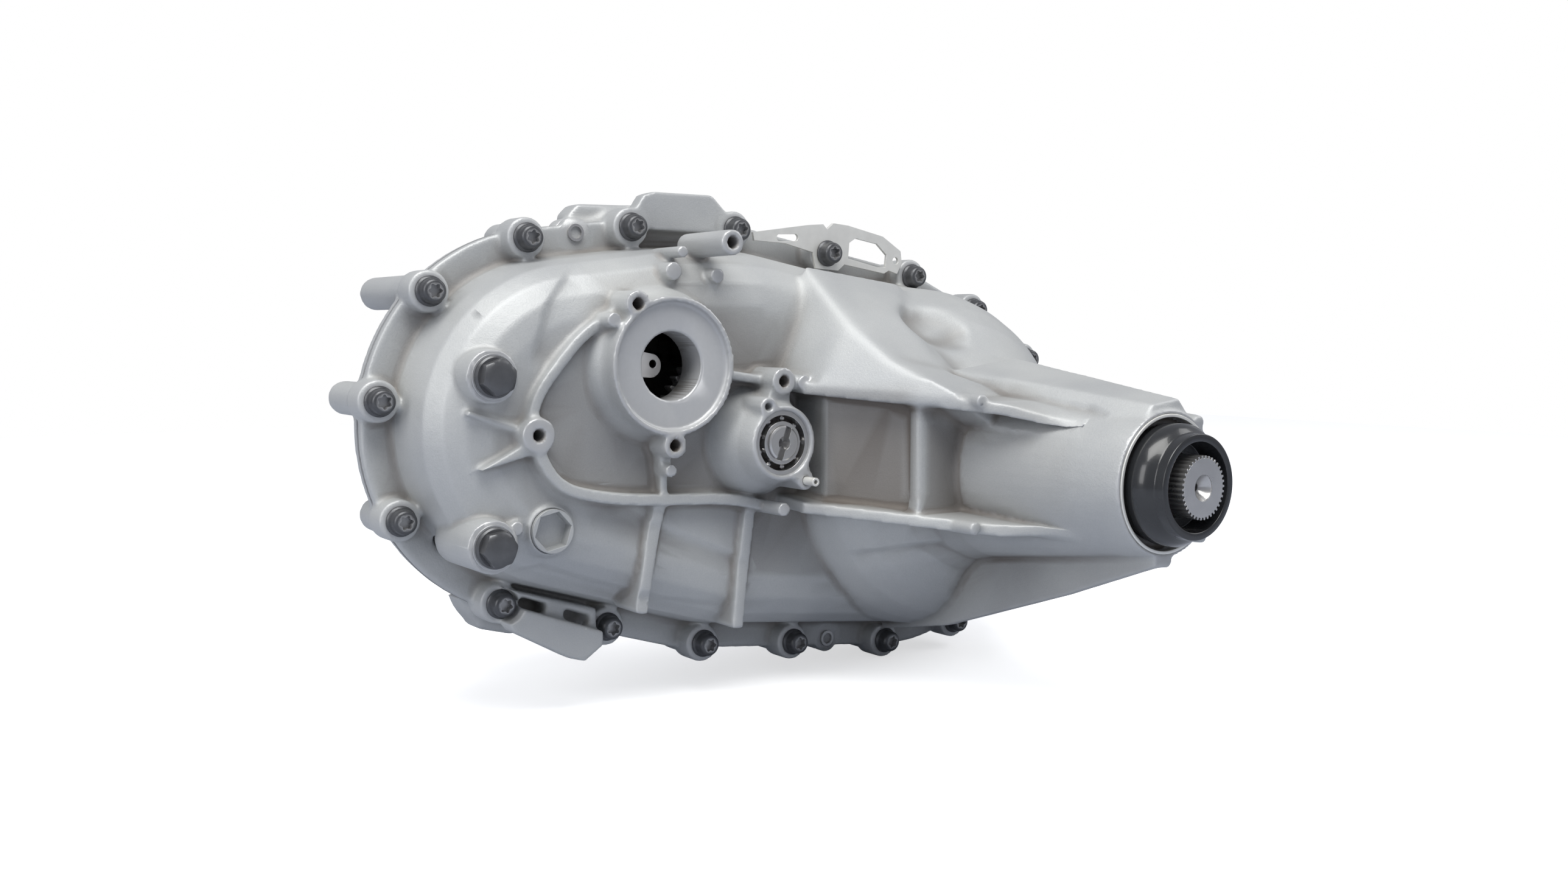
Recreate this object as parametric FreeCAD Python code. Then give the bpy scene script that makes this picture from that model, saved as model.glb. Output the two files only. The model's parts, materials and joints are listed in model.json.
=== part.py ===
import FreeCAD, Part
import math
import os

# Single-speed, chain-driven, on-demand transfer case.
# X runs along the case, Y from the rear output towards the gearbox, Z up.
# Sizes below are measured from the main shaft's axis and from the plane where the two case
# halves meet. The finished parts are moved so that the gearbox face lies at the origin.

os.makedirs("parts", exist_ok=True)

# ---- driving dimensions, millimetres and degrees ----------------------------------------

# chain drive
chain_pitch = 9.525
sprocket_teeth = 36
chain_links = 86
chain_width = 26.0
chain_y = 3.0                    # rear edge of the chain
chain_gap = 0.6                  # between link, tooth and neighbour
link_gap = 0.15                  # from a link's end to the middle of its pin
link_height = 8.0
drive_line_angle = 174.8         # direction from main axis to front output axis

# actuator
cam_module = 2.0
pinion_teeth = 30
cam_teeth = 109                  # of the whole circle, the arm carries a few of them
actuator_angle = 172.6           # direction from main axis to actuator axis
actuator_travel = 50.0
motor_gear_module = 2.0
motor_gear_teeth = 60
motor_pinion_teeth = 19
motor_angle = 145.6              # direction from actuator axis to motor seat
gear_backlash = 0.25
cam_width = 8.0
cam_y = -34.0                    # rear face of the cam ring
motor_gear_width = 7.0
motor_gear_y = -52.5

# case joint
flange_thick = 7.0
flange_over = 5.0                # how far the flange passes the line of the bolts
# circles whose tangents make the line of the bolts, clockwise as seen from the rear
case_circles = [((-243.0, 29.0), 106.0), ((-185.0, 63.5), 79.0), ((-130.0, 64.0), 79.0),
                ((5.0, 45.0), 73.5), ((55.0, 10.0), 85.5), ((16.0, -7.0), 120.0),
                ((-140.0, -20.0), 89.5)]
case_middle = (-120.0, 8.0)
# directions of the bolts from the middle of the case, clockwise from the upper left
bolt_angles = [154.5, 138.6, 119.6, 91.7, 62.1, 38.6, 24.4, 12.3, -6.0, -21.5, -35.7, -49.1,
               -72.4, -103.5, -133.8, -154.3, -172.9, 170.8]
dowel_angles = [129.5, -60.0]
wall_inset = 11.0                # from the line of the bolts to the outside of the wall
wall_draft = 3.0
case_round = 32.0                # round between the walls and the rear face
front_round = 24.0
round_steps = 4
wall = 5.0
rear_depth = 58.0
front_depth = 64.0
lug_radius = 11.5
lug_length = 18.0
front_boss_length = 22.0
long_bosses = {0: 66.0, 17: 38.0}  # tapped bosses on the left, by the number of their bolt
bolt_radius = 4.0
bolt_hole_gap = 0.5
bolt_flange_radius = 8.3
bolt_flange_thick = 2.2
bolt_head_radius = 6.4
bolt_head_height = 6.5
bolt_grip = 18.0                 # thread length beyond the joint
sealant_thick = 0.6
sealant_width = 4.5
sealant_proud = 0.2
dowel_radius = 5.0
dowel_length = 18.0

# main shaft and nose
nose_end = -250.0
nose_radius = 39.5
nose_ring_width = 3.5
nose_ring_length = 3.0
nose_recess = 6.0
spline_radius = 17.0
spline_depth = 1.4
spline_count = 38
spline_length = 27.0
shaft_end = -273.0
shaft_centre_radius = 7.0
rear_bearing_bore = 17.5
rear_bearing_radius = 31.0
rear_bearing_width = 14.0
rear_seal_width = 8.0
snap_ring_thick = 1.75
shaft_radius = 16.5
front_bearing_bore = 22.5
front_bearing_radius = 42.5
front_bearing_width = 19.0
front_bearing_y = 66.0
input_seal_width = 8.0
adapter_end = 98.0
adapter_barrel = 78.0
adapter_radius = 99.0
adapter_thick = 11.0
adapter_pcd = 178.0
adapter_holes = 8
adapter_hole_radius = 5.25
input_bore = 14.0
input_spline_count = 27
shaft_front = 92.0
shield_front = -270.0
shield_radius = 28.25
shield_opening = 24.0
shield_back_radius = 33.0
shield_wall = 1.6

# clutch
hub_radius = 38.0
drum_radius = 68.0
drum_wall = 3.0
drum_web = 4.0
plate_outer = 64.0
plate_inner = 40.0
plate_thick = 1.8
plate_gap = 0.2
plate_pairs = 4
clutch_travel = 1.4
pressure_thick = 5.0

# front output
output_bearing_bore = 17.5
output_bearing_radius = 36.0
output_bearing_width = 17.0
output_bearing_y = 42.0
output_boss_radius = 45.0
output_boss_end = 74.0
output_seal_width = 8.0
output_flange_radius = 52.0
output_flange_thick = 9.0
output_flange_y = 84.0
output_pcd = 84.0
output_holes = 6
output_hole_radius = 4.25
needle_radius = 14.0
needle_bore = 10.0
needle_length = 16.0
needle_y = -34.0

# actuator shaft and its bore
port_end = -90.0
port_radius = 21.3
port_bearing_radius = 18.5
port_bearing_bore = 10.0
port_bearing_width = 9.0
port_lip = 2.5                   # depth of the bearing below the mouth
port_hole_radius = 11.5
actuator_tail = 50.0
actuator_tail_radius = 8.0
slot_width = 4.0
slot_depth = 5.0
slot_tilt = 70.0

# motor seat
seat_end = -78.0
seat_radius = 38.5
seat_rim = 3.0
seat_recess = 3.5
seat_bore = 19.0

# plugs
plug_thread = 9.0
plug_flat = 17.5
plug_boss_radius = 14.25
plug_boss_end = -66.0
plug_washer_radius = 12.0
plug_washer_thick = 1.5
socket_plug_radius = 12.0
socket_plug_face = -62.5

fit_gap = 0.05                   # radial running clearance of shafts and bearings
clear = 0.5                      # between parts that pass each other

# ---- small makers -------------------------------------------------------------------------

ALONG_Y = FreeCAD.Vector(0, 1, 0)
MAIN = (0.0, 0.0)


def point(x, y, z):
    return FreeCAD.Vector(x, y, z)


def polar(centre, radius, angle):
    """Place at a radius and an angle from +X towards +Z, seen from the rear."""
    turn = math.radians(angle)
    return (centre[0] + radius * math.cos(turn), centre[1] + radius * math.sin(turn))


def rod(centre, radius, y_from, y_to):
    low, high = min(y_from, y_to), max(y_from, y_to)
    return Part.makeCylinder(radius, high - low, point(centre[0], low, centre[1]), ALONG_Y)


def tube(centre, outside, inside, y_from, y_to):
    low, high = min(y_from, y_to), max(y_from, y_to)
    return rod(centre, outside, low, high).cut(rod(centre, inside, low - 1, high + 1))


def turned(centre, outline):
    """Solid of revolution from its half section, as (radius, y) corners."""
    corners = [point(centre[0] + radius, y, centre[1]) for radius, y in outline]
    face = Part.Face(Part.makePolygon(corners + corners[:1]))
    return face.revolve(point(centre[0], 0, centre[1]), ALONG_Y, 360)


def plate(corners, y_from, y_to):
    """Flat plate from its (x, z) corners."""
    ring = [point(x, y_from, z) for x, z in corners]
    face = Part.Face(Part.makePolygon(ring + ring[:1]))
    return face.extrude(point(0, y_to - y_from, 0))


def slab(corners, height, thick):
    """Plate from (x, y) corners whose middle height follows height(y)."""
    wires = []
    for side in (-thick / 2, thick / 2):
        ring = [point(x, y, height(y) + side) for x, y in corners]
        wires.append(Part.makePolygon(ring + ring[:1]))
    return Part.makeLoft(wires, True, True)


def fused(shapes):
    """One body out of several, fused one after the other with their seams kept."""
    whole = shapes[0]
    for shape in shapes[1:]:
        whole = whole.fuse(shape)
    return whole


def joined(shapes):
    return fused(shapes).removeSplitter()


def less(whole, tools):
    for tool in tools:
        whole = whole.cut(tool)
    return whole


def hull_bar(first, second, radius_first, radius_second, y_from, y_to):
    """Rounded bar between two (x, z) places, with round ends of two radii."""
    angle = math.atan2(second[1] - first[1], second[0] - first[0])
    side = (-math.sin(angle), math.cos(angle))
    corners = []
    for centre, radius, sign in ((first, radius_first, 1), (second, radius_second, 1),
                                 (second, radius_second, -1), (first, radius_first, -1)):
        corners.append((centre[0] + sign * side[0] * radius, centre[1] + sign * side[1] * radius))
    ends = [rod(first, radius_first, y_from, y_to), rod(second, radius_second, y_from, y_to)]
    return joined([plate(corners, y_from, y_to)] + ends)


def rib(places, width, y_from, y_to):
    """Rib of one width along a smooth line through (x, z) places."""
    line = Part.BSplineCurve()
    line.interpolate([point(x, y_from, z) for x, z in places])
    steps = 3 * len(places)
    sides = {1: [], -1: []}
    for step in range(steps + 1):
        t = line.FirstParameter + (line.LastParameter - line.FirstParameter) * step / steps
        here, run = line.value(t), line.tangent(t)[0]
        for sign in sides:
            sides[sign].append(here + point(-run.z, 0, run.x) * (sign * width / 2))
    edges = []
    for sign in (1, -1):
        side = Part.BSplineCurve()
        side.interpolate(sides[sign])
        edges.append(side.toShape())
    edges.append(Part.makeLine(sides[1][0], sides[-1][0]))
    edges.append(Part.makeLine(sides[1][-1], sides[-1][-1]))
    face = Part.Face(Part.Wire(Part.__sortEdges__(edges)))
    return face.extrude(point(0, y_to - y_from, 0))


def group(shapes):
    return Part.makeCompound(shapes)


nodes = {}


def node(name, shape):
    nodes[name] = shape


# ---- layout -------------------------------------------------------------------------------

centre_distance = (chain_links - sprocket_teeth) * chain_pitch / 2
OUTPUT = polar(MAIN, centre_distance, drive_line_angle)
cam_distance = cam_module * (pinion_teeth + cam_teeth) / 2
ACTUATOR = polar(MAIN, cam_distance, actuator_angle)
motor_distance = motor_gear_module * (motor_gear_teeth + motor_pinion_teeth) / 2
SEAT = polar(ACTUATOR, motor_distance, motor_angle)
cam_travel = actuator_travel * pinion_teeth / cam_teeth


def outline(distance, y):
    """Closed wire inside the line of the bolts by a distance: arcs and their tangents."""
    count = len(case_circles)
    turns = []
    for i, (centre, radius) in enumerate(case_circles):
        following, next_radius = case_circles[(i + 1) % count]
        run = math.atan2(following[1] - centre[1], following[0] - centre[0])
        lean = math.asin((radius - next_radius) / math.dist(centre, following))
        turns.append(math.degrees(run - lean) + 90)
    edges = []
    for i, (centre, radius) in enumerate(case_circles):
        sweep = (turns[i - 1] - turns[i]) % 360
        stations = [polar(centre, radius - distance, turns[i - 1] - sweep * part)
                    for part in (0, 0.5, 1)]
        following, next_radius = case_circles[(i + 1) % count]
        start = polar(following, next_radius - distance, turns[i])
        edges.append(Part.Arc(*[point(x, y, z) for x, z in stations]).toShape())
        edges.append(Part.makeLine(point(stations[2][0], y, stations[2][1]),
                                   point(start[0], y, start[1])))
    return Part.Wire(edges)


def on_bolt_line(angle):
    """Place on the line of the bolts, in a direction from the middle of the case."""
    end = polar(case_middle, 400, angle)
    ray = Part.makeLine(point(case_middle[0], 0, case_middle[1]), point(end[0], 0, end[1]))
    hit = outline(0, 0).distToShape(ray)[1][0][0]
    return (hit.x, hit.z)


bolts = [on_bolt_line(angle) for angle in bolt_angles]
dowels = [on_bolt_line(angle) for angle in dowel_angles]

fill_place = (-305.0, 58.3)
drain_place = (-306.0, -30.0)
socket_plug_place = (-270.0, -25.0)

# screw bosses and cast pads on the rear half: place, radius, hole radius, end
boss_a = ((-225.5, 96.3), 7.4, 3.4, seat_end)
boss_b = ((-280.0, 27.0), 9.6, 3.3, -68.0)
boss_c = ((-203.0, 18.8), 7.1, 3.4, seat_end)
boss_d = ((-166.0, 131.0), 7.3, 3.5, -80.0)
boss_e = ((-134.5, 52.9), 7.8, 3.4, -85.0)
screw_bosses = [boss_a, boss_b, boss_c, boss_d, boss_e]
boss_hole_depth = 16.0
pads = [((-238.5, 87.6), 4.1, -75.0), ((-120.0, 51.8), 4.5, -85.0), ((-203.3, 4.5), 3.5, -74.0),
        ((-134.5, -21.0), 4.0, -85.0), ((-187.0, 126.0), 3.4, -61.0),
        ((-193.0, 115.0), 5.2, -61.0), ((-164.0, 113.0), 4.4, -61.0),
        ((-290.0, -22.0), 3.9, -61.0)]
pad_root = -30.0
rim_inner = 40.0
sleeve_bore = 20.0
sleeve_radius = 23.0
thrust_thick = 3.5
thrust_y = cam_y - thrust_thick - 0.1
pressure_y = thrust_y - pressure_thick - 0.1
pack_end = pressure_y - clutch_travel - 0.6
drum_y = pack_end - 2 * plate_pairs * (plate_thick + plate_gap) - drum_web
drum_mouth = pressure_y + 2
hub_y = drum_y + drum_web + 1
hub_mouth = pack_end - 1.3
ball_radius = 3.0
ball_gap = 3.0
ramp_thick = 8.0
ramp_y = cam_y + cam_width + ball_gap
reaction_y = ramp_y + ramp_thick + 0.1
sprocket_face = reaction_y + thrust_thick + 0.1
ramp_peg_angle = 75.0
ramp_peg_place = polar(MAIN, 88, ramp_peg_angle)
guard_y = -44.0
guard_post_place = (-229.0, 66.0)
bush_radius = 11.0
bush_length = 16.0
output_seat_radius = 20.0
flange_bore = 15.0
flange_hub = 24.0
nut_thread = 10.0
pump_y = 40.0
pump_radius = 44.0
pump_rotor_radius = 30.0
pump_shaft_radius = 19.0
input_depth = 40.0
pickup_top = (-12.0, -40.0)
pickup_foot = (-26.0, -90.0)
magnet_place = (-70.0, -66.0)
breather_place = (-120.0, 100.0)
breather_radius = 4.0
plug_head_height = 9.5
socket_plug_flat = 19.0
bracket_thick = 2.0
bracket_bolt = bolts[4]
cam_arm_before = 6
cam_arm_after = 3
ear_hole = (-148.5, 39.0)
ear_stud = (-122.5, -4.5)
ear_radius = 5.6
ear_hole_radius = 2.45
stud_radius = 2.5
stud_bore = 1.2
stud_length = 20.0
stud_proud = 9.0


def outline_plate(distance, y_from, y_to):
    return Part.Face(outline(distance, y_from)).extrude(point(0, y_to - y_from, 0))


def shell_form(distance, y_from, y_to, rounding):
    """Dish of the case: drafted walls that turn into the face through a round of flats."""
    way = math.copysign(1.0, y_to - y_from)
    start = y_to - way * rounding
    wires = [outline(distance, y_from), outline(distance + wall_draft, start)]
    for step in range(1, round_steps + 1):
        turn = math.radians(90.0 * step / round_steps)
        wires.append(outline(distance + wall_draft + rounding * (1 - math.cos(turn)),
                             start + way * rounding * math.sin(turn)))
    return Part.makeLoft(wires, True, True)


# ---- rear case ----------------------------------------------------------------------------

def rear_body():
    outside = shell_form(wall_inset, 0, -rear_depth, case_round)
    flange = outline_plate(-flange_over, 0, -flange_thick)
    lugs = [rod(place, lug_radius, 0, -lug_length) for place in bolts]
    lugs += [rod(place, dowel_radius + 4, 0, -dowel_length / 2 - 4) for place in dowels]
    return [outside, flange] + lugs


def rear_cavity():
    return shell_form(wall_inset + wall, 1, -rear_depth + wall, case_round - wall)


# half section of the round about the main axis and of the long nose that it runs into
nose_section = [(0, -2), (113.0, -2), (108.0, -50), (103.5, -64), (96.5, -78), (86.0, -90),
                (76.0, -97.5), (66.0, -105), (58.5, -115), (55.0, -130),
                (nose_radius, nose_end), (0, nose_end)]


def crest(y):
    """Distance of the rib crests from the main axis, along -X."""
    return 121.0 + 0.654 * (y + 85.0)


def upper_height(y):
    return 48.5 + 0.099 * (y + 85.0)


def lower_height(y):
    return -21.0 + 0.078 * (y + 85.0)


rib_thick = 7.0
web_from, web_to = -131.0, -141.0
rib_end = -218.0
pocket_depth = 15.0


def nose_ribs():
    """Two long gussets from the actuator block to the nose, with a web between."""
    plan = [(-crest(-85), -85), (-crest(rib_end), rib_end), (0, rib_end), (0, -50), (-122, -50)]
    upper = slab(plan, upper_height, rib_thick)
    lower = slab(plan, lower_height, rib_thick)
    web_x = crest((web_from + web_to) / 2) - 6
    web = Part.makeBox(web_x, web_from - web_to, 70, point(-web_x, web_to, -24))
    floor = [(-crest(-85) + pocket_depth, -85), (-crest(web_from) + pocket_depth, web_from),
             (0, web_from), (0, -50), (-108, -50)]
    pocket_floor = slab(floor, lambda y: 12.0, 72)
    return [upper, lower, web, pocket_floor]


def shoulder():
    """Sloping roof from the top of the case down to the upper gusset."""
    sections = []
    for y, foot, ridge, top in ((-50, (-124, 52), (-96, 122), (-20, 112)),
                                (-92, (-116, 51), (-95, 88), (-52, 92)),
                                (-122, (-97, 48), (-88, 67), (-50, 60)),
                                (-160, (-72, 44), (-71, 47), (-28, 44))):
        ring = [foot, ridge, top, (20, 30), (0, 0), (foot[0] + 30, foot[1] - 16)]
        corners = [point(x, y, z) for x, z in ring]
        sections.append(Part.makePolygon(corners + corners[:1]))
    return Part.makeLoft(sections, True, True)


def nose_roof():
    """Flat raised roof along the top of the nose, from the shoulder to its rim."""
    sections = []
    for y, ring in ((-118, [(-52, 30), (-36, 60), (12, 66), (32, 45), (0, 0)]),
                    (-248, [(-32, 22), (-10, 43), (10, 45.5), (22, 32), (0, 0)])):
        corners = [point(x, y, z) for x, z in ring]
        sections.append(Part.makePolygon(corners + corners[:1]))
    return Part.makeLoft(sections, True, True)


keel_line = [(-20, -117), (-84, -104), (-183, -70), (nose_end, -44)]
keel_thick = 9.0


def keel():
    """Flat web under the nose with a round bead along the nose."""
    ring = [point(-keel_thick, y, z) for y, z in [(-20, 0)] + keel_line + [(nose_end + 1, 0)]]
    web = Part.Face(Part.makePolygon(ring + ring[:1])).extrude(point(keel_thick, 0, 0))
    beads = []
    for start, end, radius in (((1, nose_end, -41.5), (-4, -150, -50), 4.0),
                               ((25, nose_end, 32), (34, -150, 42), 4.0),
                               ((30, nose_end, -31), (36, -170, -36), 3.6)):
        run = point(*end) - point(*start)
        beads.append(Part.makeCylinder(radius, run.Length, point(*start), run))
    return [web] + beads


def block():
    """Motor seat, actuator bore, screw bosses, pads and ribs on the rear half."""
    root = -50.0
    seat = turned(SEAT, [(0, root), (seat_radius + 6, root), (seat_radius + 5, -60),
                         (seat_radius + 1, -66), (seat_radius, -70), (seat_radius, seat_end),
                         (0, seat_end)])
    port = turned(ACTUATOR, [(0, root), (port_radius + 16, root), (port_radius + 9, -66),
                             (port_radius + 3, -78), (port_radius, port_end), (0, port_end)])
    ears = [hull_bar(ACTUATOR, place, 12, ear_radius, -64, port_end)
            for place in (ear_hole, ear_stud)]
    bosses = [rod(place, radius, pad_root, end) for place, radius, hole, end in screw_bosses]
    small = [rod(place, radius, pad_root, end) for place, radius, end in pads]
    joint_e = hull_bar(boss_e[0], pads[1][0], 5, 4, root, boss_e[3] + 3)
    joint_port = hull_bar(boss_e[0], ACTUATOR, 6, 12, root, boss_e[3] + 3)
    joint_c = hull_bar(boss_c[0], pads[2][0], 4, 3.4, root, -68)
    plugs = [rod(place, plug_boss_radius, -20, plug_boss_end)
             for place in (fill_place, drain_place)]
    disc = [rod(socket_plug_place, socket_plug_radius + 1.5, root, -61.0)]
    return [seat, port, joint_e, joint_port, joint_c] + ears + bosses + small + plugs + disc


def face_ribs():
    """Stiffening ribs on the dome and under the actuator block."""
    root, crown = -50.0, -64.0
    seat_rib = rib([boss_a[0], pads[0][0], (-252, 78), (-265, 64), (-276, 50), (-281, 37),
                    boss_b[0]], 6.0, root, crown)
    belly = rib([boss_b[0], (-274, 8), (-265, -1), (-252, -6), (-190, -13), pads[3][0]],
                6.5, root, crown - 3)
    blade = plate([(-284, 24), (-276, 18), (-313, 9)], root, crown)
    whisker = plate([(-284, 26), (-284, 31), (-316, 41), (-317, 38.5)], root, crown + 3)
    seat_to_e = rib([(-168, 58), (-150, 55), boss_e[0]], 5.0, root, -72)
    drop = rib([pads[2][0], (-203.5, -12)], 4.5, root, -66)
    uprights = [rib([(-203, -12), (-210, -42), (-216, -76)], 7.5, root + 14, crown + 1),
                rib([(-143, -22), (-148, -58), (-152, -92)], 7.5, root + 14, crown + 1)]
    return [seat_rib, belly, blade, whisker, seat_to_e, drop] + uprights


top_tab = [(-193, 141), (-193, 152), (-187, 161), (-180, 163), (-140, 163), (-130, 154),
           (-130, 140)]
foot_outer = [(-284, -74), (-278, -70), (-224, -90), (-224, -98), (-236, -106), (-246, -103),
              (-280, -84)]
foot_web = [(-252, -80), (-246, -82), (-246, -88), (-252, -86)]


def mounts_rear():
    tab = plate(top_tab, -flange_thick, -lug_length + 0.5)
    foot = plate(foot_outer, -18, -32)
    windows = [plate([(-272, -66), (-256, -72), (-256, -80), (-272, -76)], -8, -24),
               plate([(-245, -76), (-229, -82), (-229, -90), (-245, -85)], -8, -24)]
    backing = plate([(-282, -60), (-224, -78), (-224, -92), (-282, -74)], -flange_thick, -24)
    return [tab, foot, backing.cut(group(windows))]


def rear_bores():
    """Everything bored or cored out of the rear half."""
    cuts = [rear_cavity()]
    cuts.append(turned(MAIN, [(0, 1), (106, 1), (102, -48), (98, -61), (91, -74), (80, -85),
                              (71, -91.5), (58, -97.5), (49.5, -108), (45, -124), (36, -180),
                              (rear_bearing_radius - 3, -190),
                              (rear_bearing_radius - 3, -224), (0, -224)]))
    cuts.append(rod(MAIN, rear_bearing_radius, -224, nose_end - 1))
    cuts.append(rod(MAIN, nose_radius - nose_ring_width, nose_end + nose_recess, nose_end - 1))
    cuts.append(rod(MAIN, nose_radius - nose_ring_width / 2, nose_end + nose_ring_length,
                    nose_end - 1))
    cuts.append(rod(SEAT, seat_bore, 0, seat_end - 1))
    cuts.append(rod(SEAT, seat_radius - seat_rim, seat_end + seat_recess, seat_end - 1))
    bearing_back = port_end + port_lip + port_bearing_width
    cuts.append(rod(ACTUATOR, port_bearing_radius, bearing_back, port_end - 1))
    cuts.append(rod(ACTUATOR, port_hole_radius, 0, port_end))
    for place, radius, hole, end in screw_bosses:
        cuts.append(rod(place, hole, end + boss_hole_depth, end - 1))
    cuts.append(rod(ear_hole, ear_hole_radius, port_end + 12, port_end - 1))
    cuts.append(rod(ear_stud, stud_radius, port_end + stud_length - stud_proud, port_end - 1))
    for place in (fill_place, drain_place):
        cuts.append(rod(place, plug_thread, 0, plug_boss_end - 1))
    cuts.append(rod(socket_plug_place, socket_plug_radius, -rear_depth - 12, -rear_depth + 12))
    cuts += [rod(place, bolt_radius + bolt_hole_gap, 1, -lug_length - 1) for place in bolts]
    cuts += [rod(place, bolt_flange_radius + clear, -lug_length, -rear_depth) for place in bolts]
    cuts += [rod(place, dowel_radius, 1, -dowel_length / 2) for place in dowels]
    pocket = [(-50, 84), (-44, 95), (-20, 96), (2, 90), (-2, 80), (-30, 77)]
    return cuts + [plate(pocket, -130, -90)]


def rear_inner_bosses():
    """Bearing and plug seats that stand inside the rear half."""
    needle = tube(OUTPUT, needle_radius + 7, needle_radius, -rear_depth + 3,
                  needle_y + needle_length)
    socket_seat = tube(socket_plug_place, socket_plug_radius + 3, socket_plug_radius,
                       -rear_depth + 1, -rear_depth + 12)
    guard_post = rod(guard_post_place, 5, -rear_depth + 1, guard_y)
    peg_post = rod(ramp_peg_place, 6, -77, ramp_y + ramp_thick)
    return [needle, socket_seat, guard_post, peg_post]


def rear_case():
    ends = [rod((-crest(-173.0), 43.0), 4.25, -152, -174), rod((-69.0, -27.0), 3.9, -152, -175.5)]
    solid = fused(rear_body() + [turned(MAIN, nose_section), shoulder(), nose_roof()] + nose_ribs()
                  + keel() + block() + face_ribs() + mounts_rear() + ends)
    solid = less(solid, rear_bores() + [case_sealant()])
    return one_solid(fused([solid] + rear_inner_bosses()))


def one_solid(shape):
    """The largest solid of a result, without stray slivers."""
    solids = sorted(shape.Solids, key=lambda solid: solid.Volume)
    return solids[-1]


# ---- front case ---------------------------------------------------------------------------

def front_case():
    parts = [shell_form(wall_inset, 0, front_depth, front_round)]
    parts.append(outline_plate(-flange_over, 0, flange_thick))
    for i, place in enumerate(bolts):
        length = long_bosses.get(i, front_boss_length)
        parts.append(rod(place, lug_radius - 2, 0, length))
    parts.append(turned(MAIN, [(0, 30), (106, 30), (100, 56), (adapter_barrel + 4, 70),
                               (adapter_barrel, 80), (adapter_barrel, adapter_end),
                               (0, adapter_end)]))
    parts.append(rod(MAIN, adapter_radius, adapter_end - adapter_thick, adapter_end))
    for i in range(adapter_holes):
        angle = 360.0 * (i + 0.5) / adapter_holes
        outer = polar(MAIN, adapter_radius - 4, angle)
        inner = polar(MAIN, adapter_barrel - 6, angle)
        parts.append(hull_bar(inner, outer, 4, 3, 60, adapter_end - 2))
    parts.append(turned(OUTPUT, [(0, 20), (output_boss_radius + 22, 40),
                                 (output_boss_radius + 8, front_depth + 2),
                                 (output_boss_radius, output_boss_end - 2),
                                 (output_boss_radius, output_boss_end), (0, output_boss_end)]))
    for i in range(5):
        angle = 60.0 * i + 30.0
        tip = polar(OUTPUT, output_boss_radius + 46, angle)
        if math.hypot(*tip) > 130:
            parts.append(hull_bar(OUTPUT, tip, 3, 3, 40, front_depth - 1))
    tab = [(-224, 141), (-224, 149), (-217, 156), (-172, 157), (-160, 150), (-160, 141)]
    parts.append(plate(tab, flange_thick, 24))
    foot = [(-296, -68), (-293, -76), (-284, -88), (-262, -94), (-252, -80)]
    parts.append(plate(foot, 4, 24))
    parts += [rod(place, dowel_radius + 4, 0, dowel_length / 2 + 4) for place in dowels]
    solid = fused(parts)
    cuts = [shell_form(wall_inset + wall, -1, front_depth - wall, front_round - wall)]
    cuts.append(rod(MAIN, front_bearing_radius, front_bearing_y, adapter_end + 1))
    cuts.append(rod(MAIN, 36, 0, adapter_end))
    cuts.append(rod(OUTPUT, output_bearing_radius, 20, output_bearing_y + output_bearing_width))
    cuts.append(rod(OUTPUT, output_bearing_radius - 4, 20, output_boss_end + 1))
    cuts += [rod(polar(MAIN, adapter_pcd / 2, 360.0 * i / adapter_holes), adapter_hole_radius,
                 60, adapter_end + 1) for i in range(adapter_holes)]
    for place in bolts:
        cuts.append(rod(place, bolt_radius, -1, bolt_grip + 1))
    cuts += [rod(place, dowel_radius, -1, dowel_length / 2) for place in dowels]
    cuts.append(rod(breather_place, breather_radius, 30, front_depth + 30))
    solid = less(solid, cuts)
    tail_boss = tube(ACTUATOR, bush_radius + 5, bush_radius, actuator_tail - bush_length,
                     front_depth - 2)
    output_wall = tube(OUTPUT, output_bearing_radius + 7, output_bearing_radius,
                       output_bearing_y - 6, front_depth - 2)
    return one_solid(fused([solid, tail_boss, output_wall]))


# ---- joint between the halves ---------------------------------------------------------------


def case_sealant():
    """Bead of sealant that fills a shallow step round the joint and stands a little proud."""
    outer, inner = -flange_over - sealant_proud, -flange_over + sealant_width
    ring = outline_plate(outer, -sealant_thick, 0)
    ring = ring.cut(outline_plate(inner, -sealant_thick - 1, 1))
    holes = [rod(place, bolt_radius + bolt_hole_gap, 1, -2) for place in bolts]
    holes += [rod(place, dowel_radius, 1, -2) for place in dowels]
    return less(ring, holes)


def flange_bolts():
    made = []
    for place in bolts:
        seat = -lug_length - (bracket_thick if place == bracket_bolt else 0)
        top = seat - bolt_flange_thick
        made.append(turned(place, [(0, bolt_grip), (bolt_radius, bolt_grip), (bolt_radius, seat),
                                   (bolt_flange_radius, seat), (bolt_flange_radius, top),
                                   (bolt_head_radius, top),
                                   (bolt_head_radius, top - bolt_head_height),
                                   (0, top - bolt_head_height)]))
    return group(made)


def locating_dowels():
    return group([tube(place, dowel_radius, dowel_radius - 1.5, -dowel_length / 2,
                       dowel_length / 2) for place in dowels])


def hexagon(centre, flats, y_from, y_to, turn=0.0):
    corner = flats / math.sqrt(3)
    return plate([polar(centre, corner, turn + 60 * i) for i in range(6)], y_from, y_to)


def oil_plug(place, turn):
    seat = plug_boss_end - plug_washer_thick
    head = hexagon(place, plug_flat, seat - 2, seat - plug_head_height, turn)
    crown = turned(place, [(0, seat), (plug_flat, seat), (plug_flat * 0.56, seat - 5),
                           (plug_flat * 0.44, seat - plug_head_height),
                           (0, seat - plug_head_height)])
    collar = rod(place, plug_washer_radius - 1, seat, seat - 2.5)
    return joined([head.common(crown), collar, rod(place, plug_thread, seat, seat + 16)])


def plug_washer(place):
    return tube(place, plug_washer_radius, plug_thread, plug_boss_end,
                plug_boss_end - plug_washer_thick)


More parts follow.
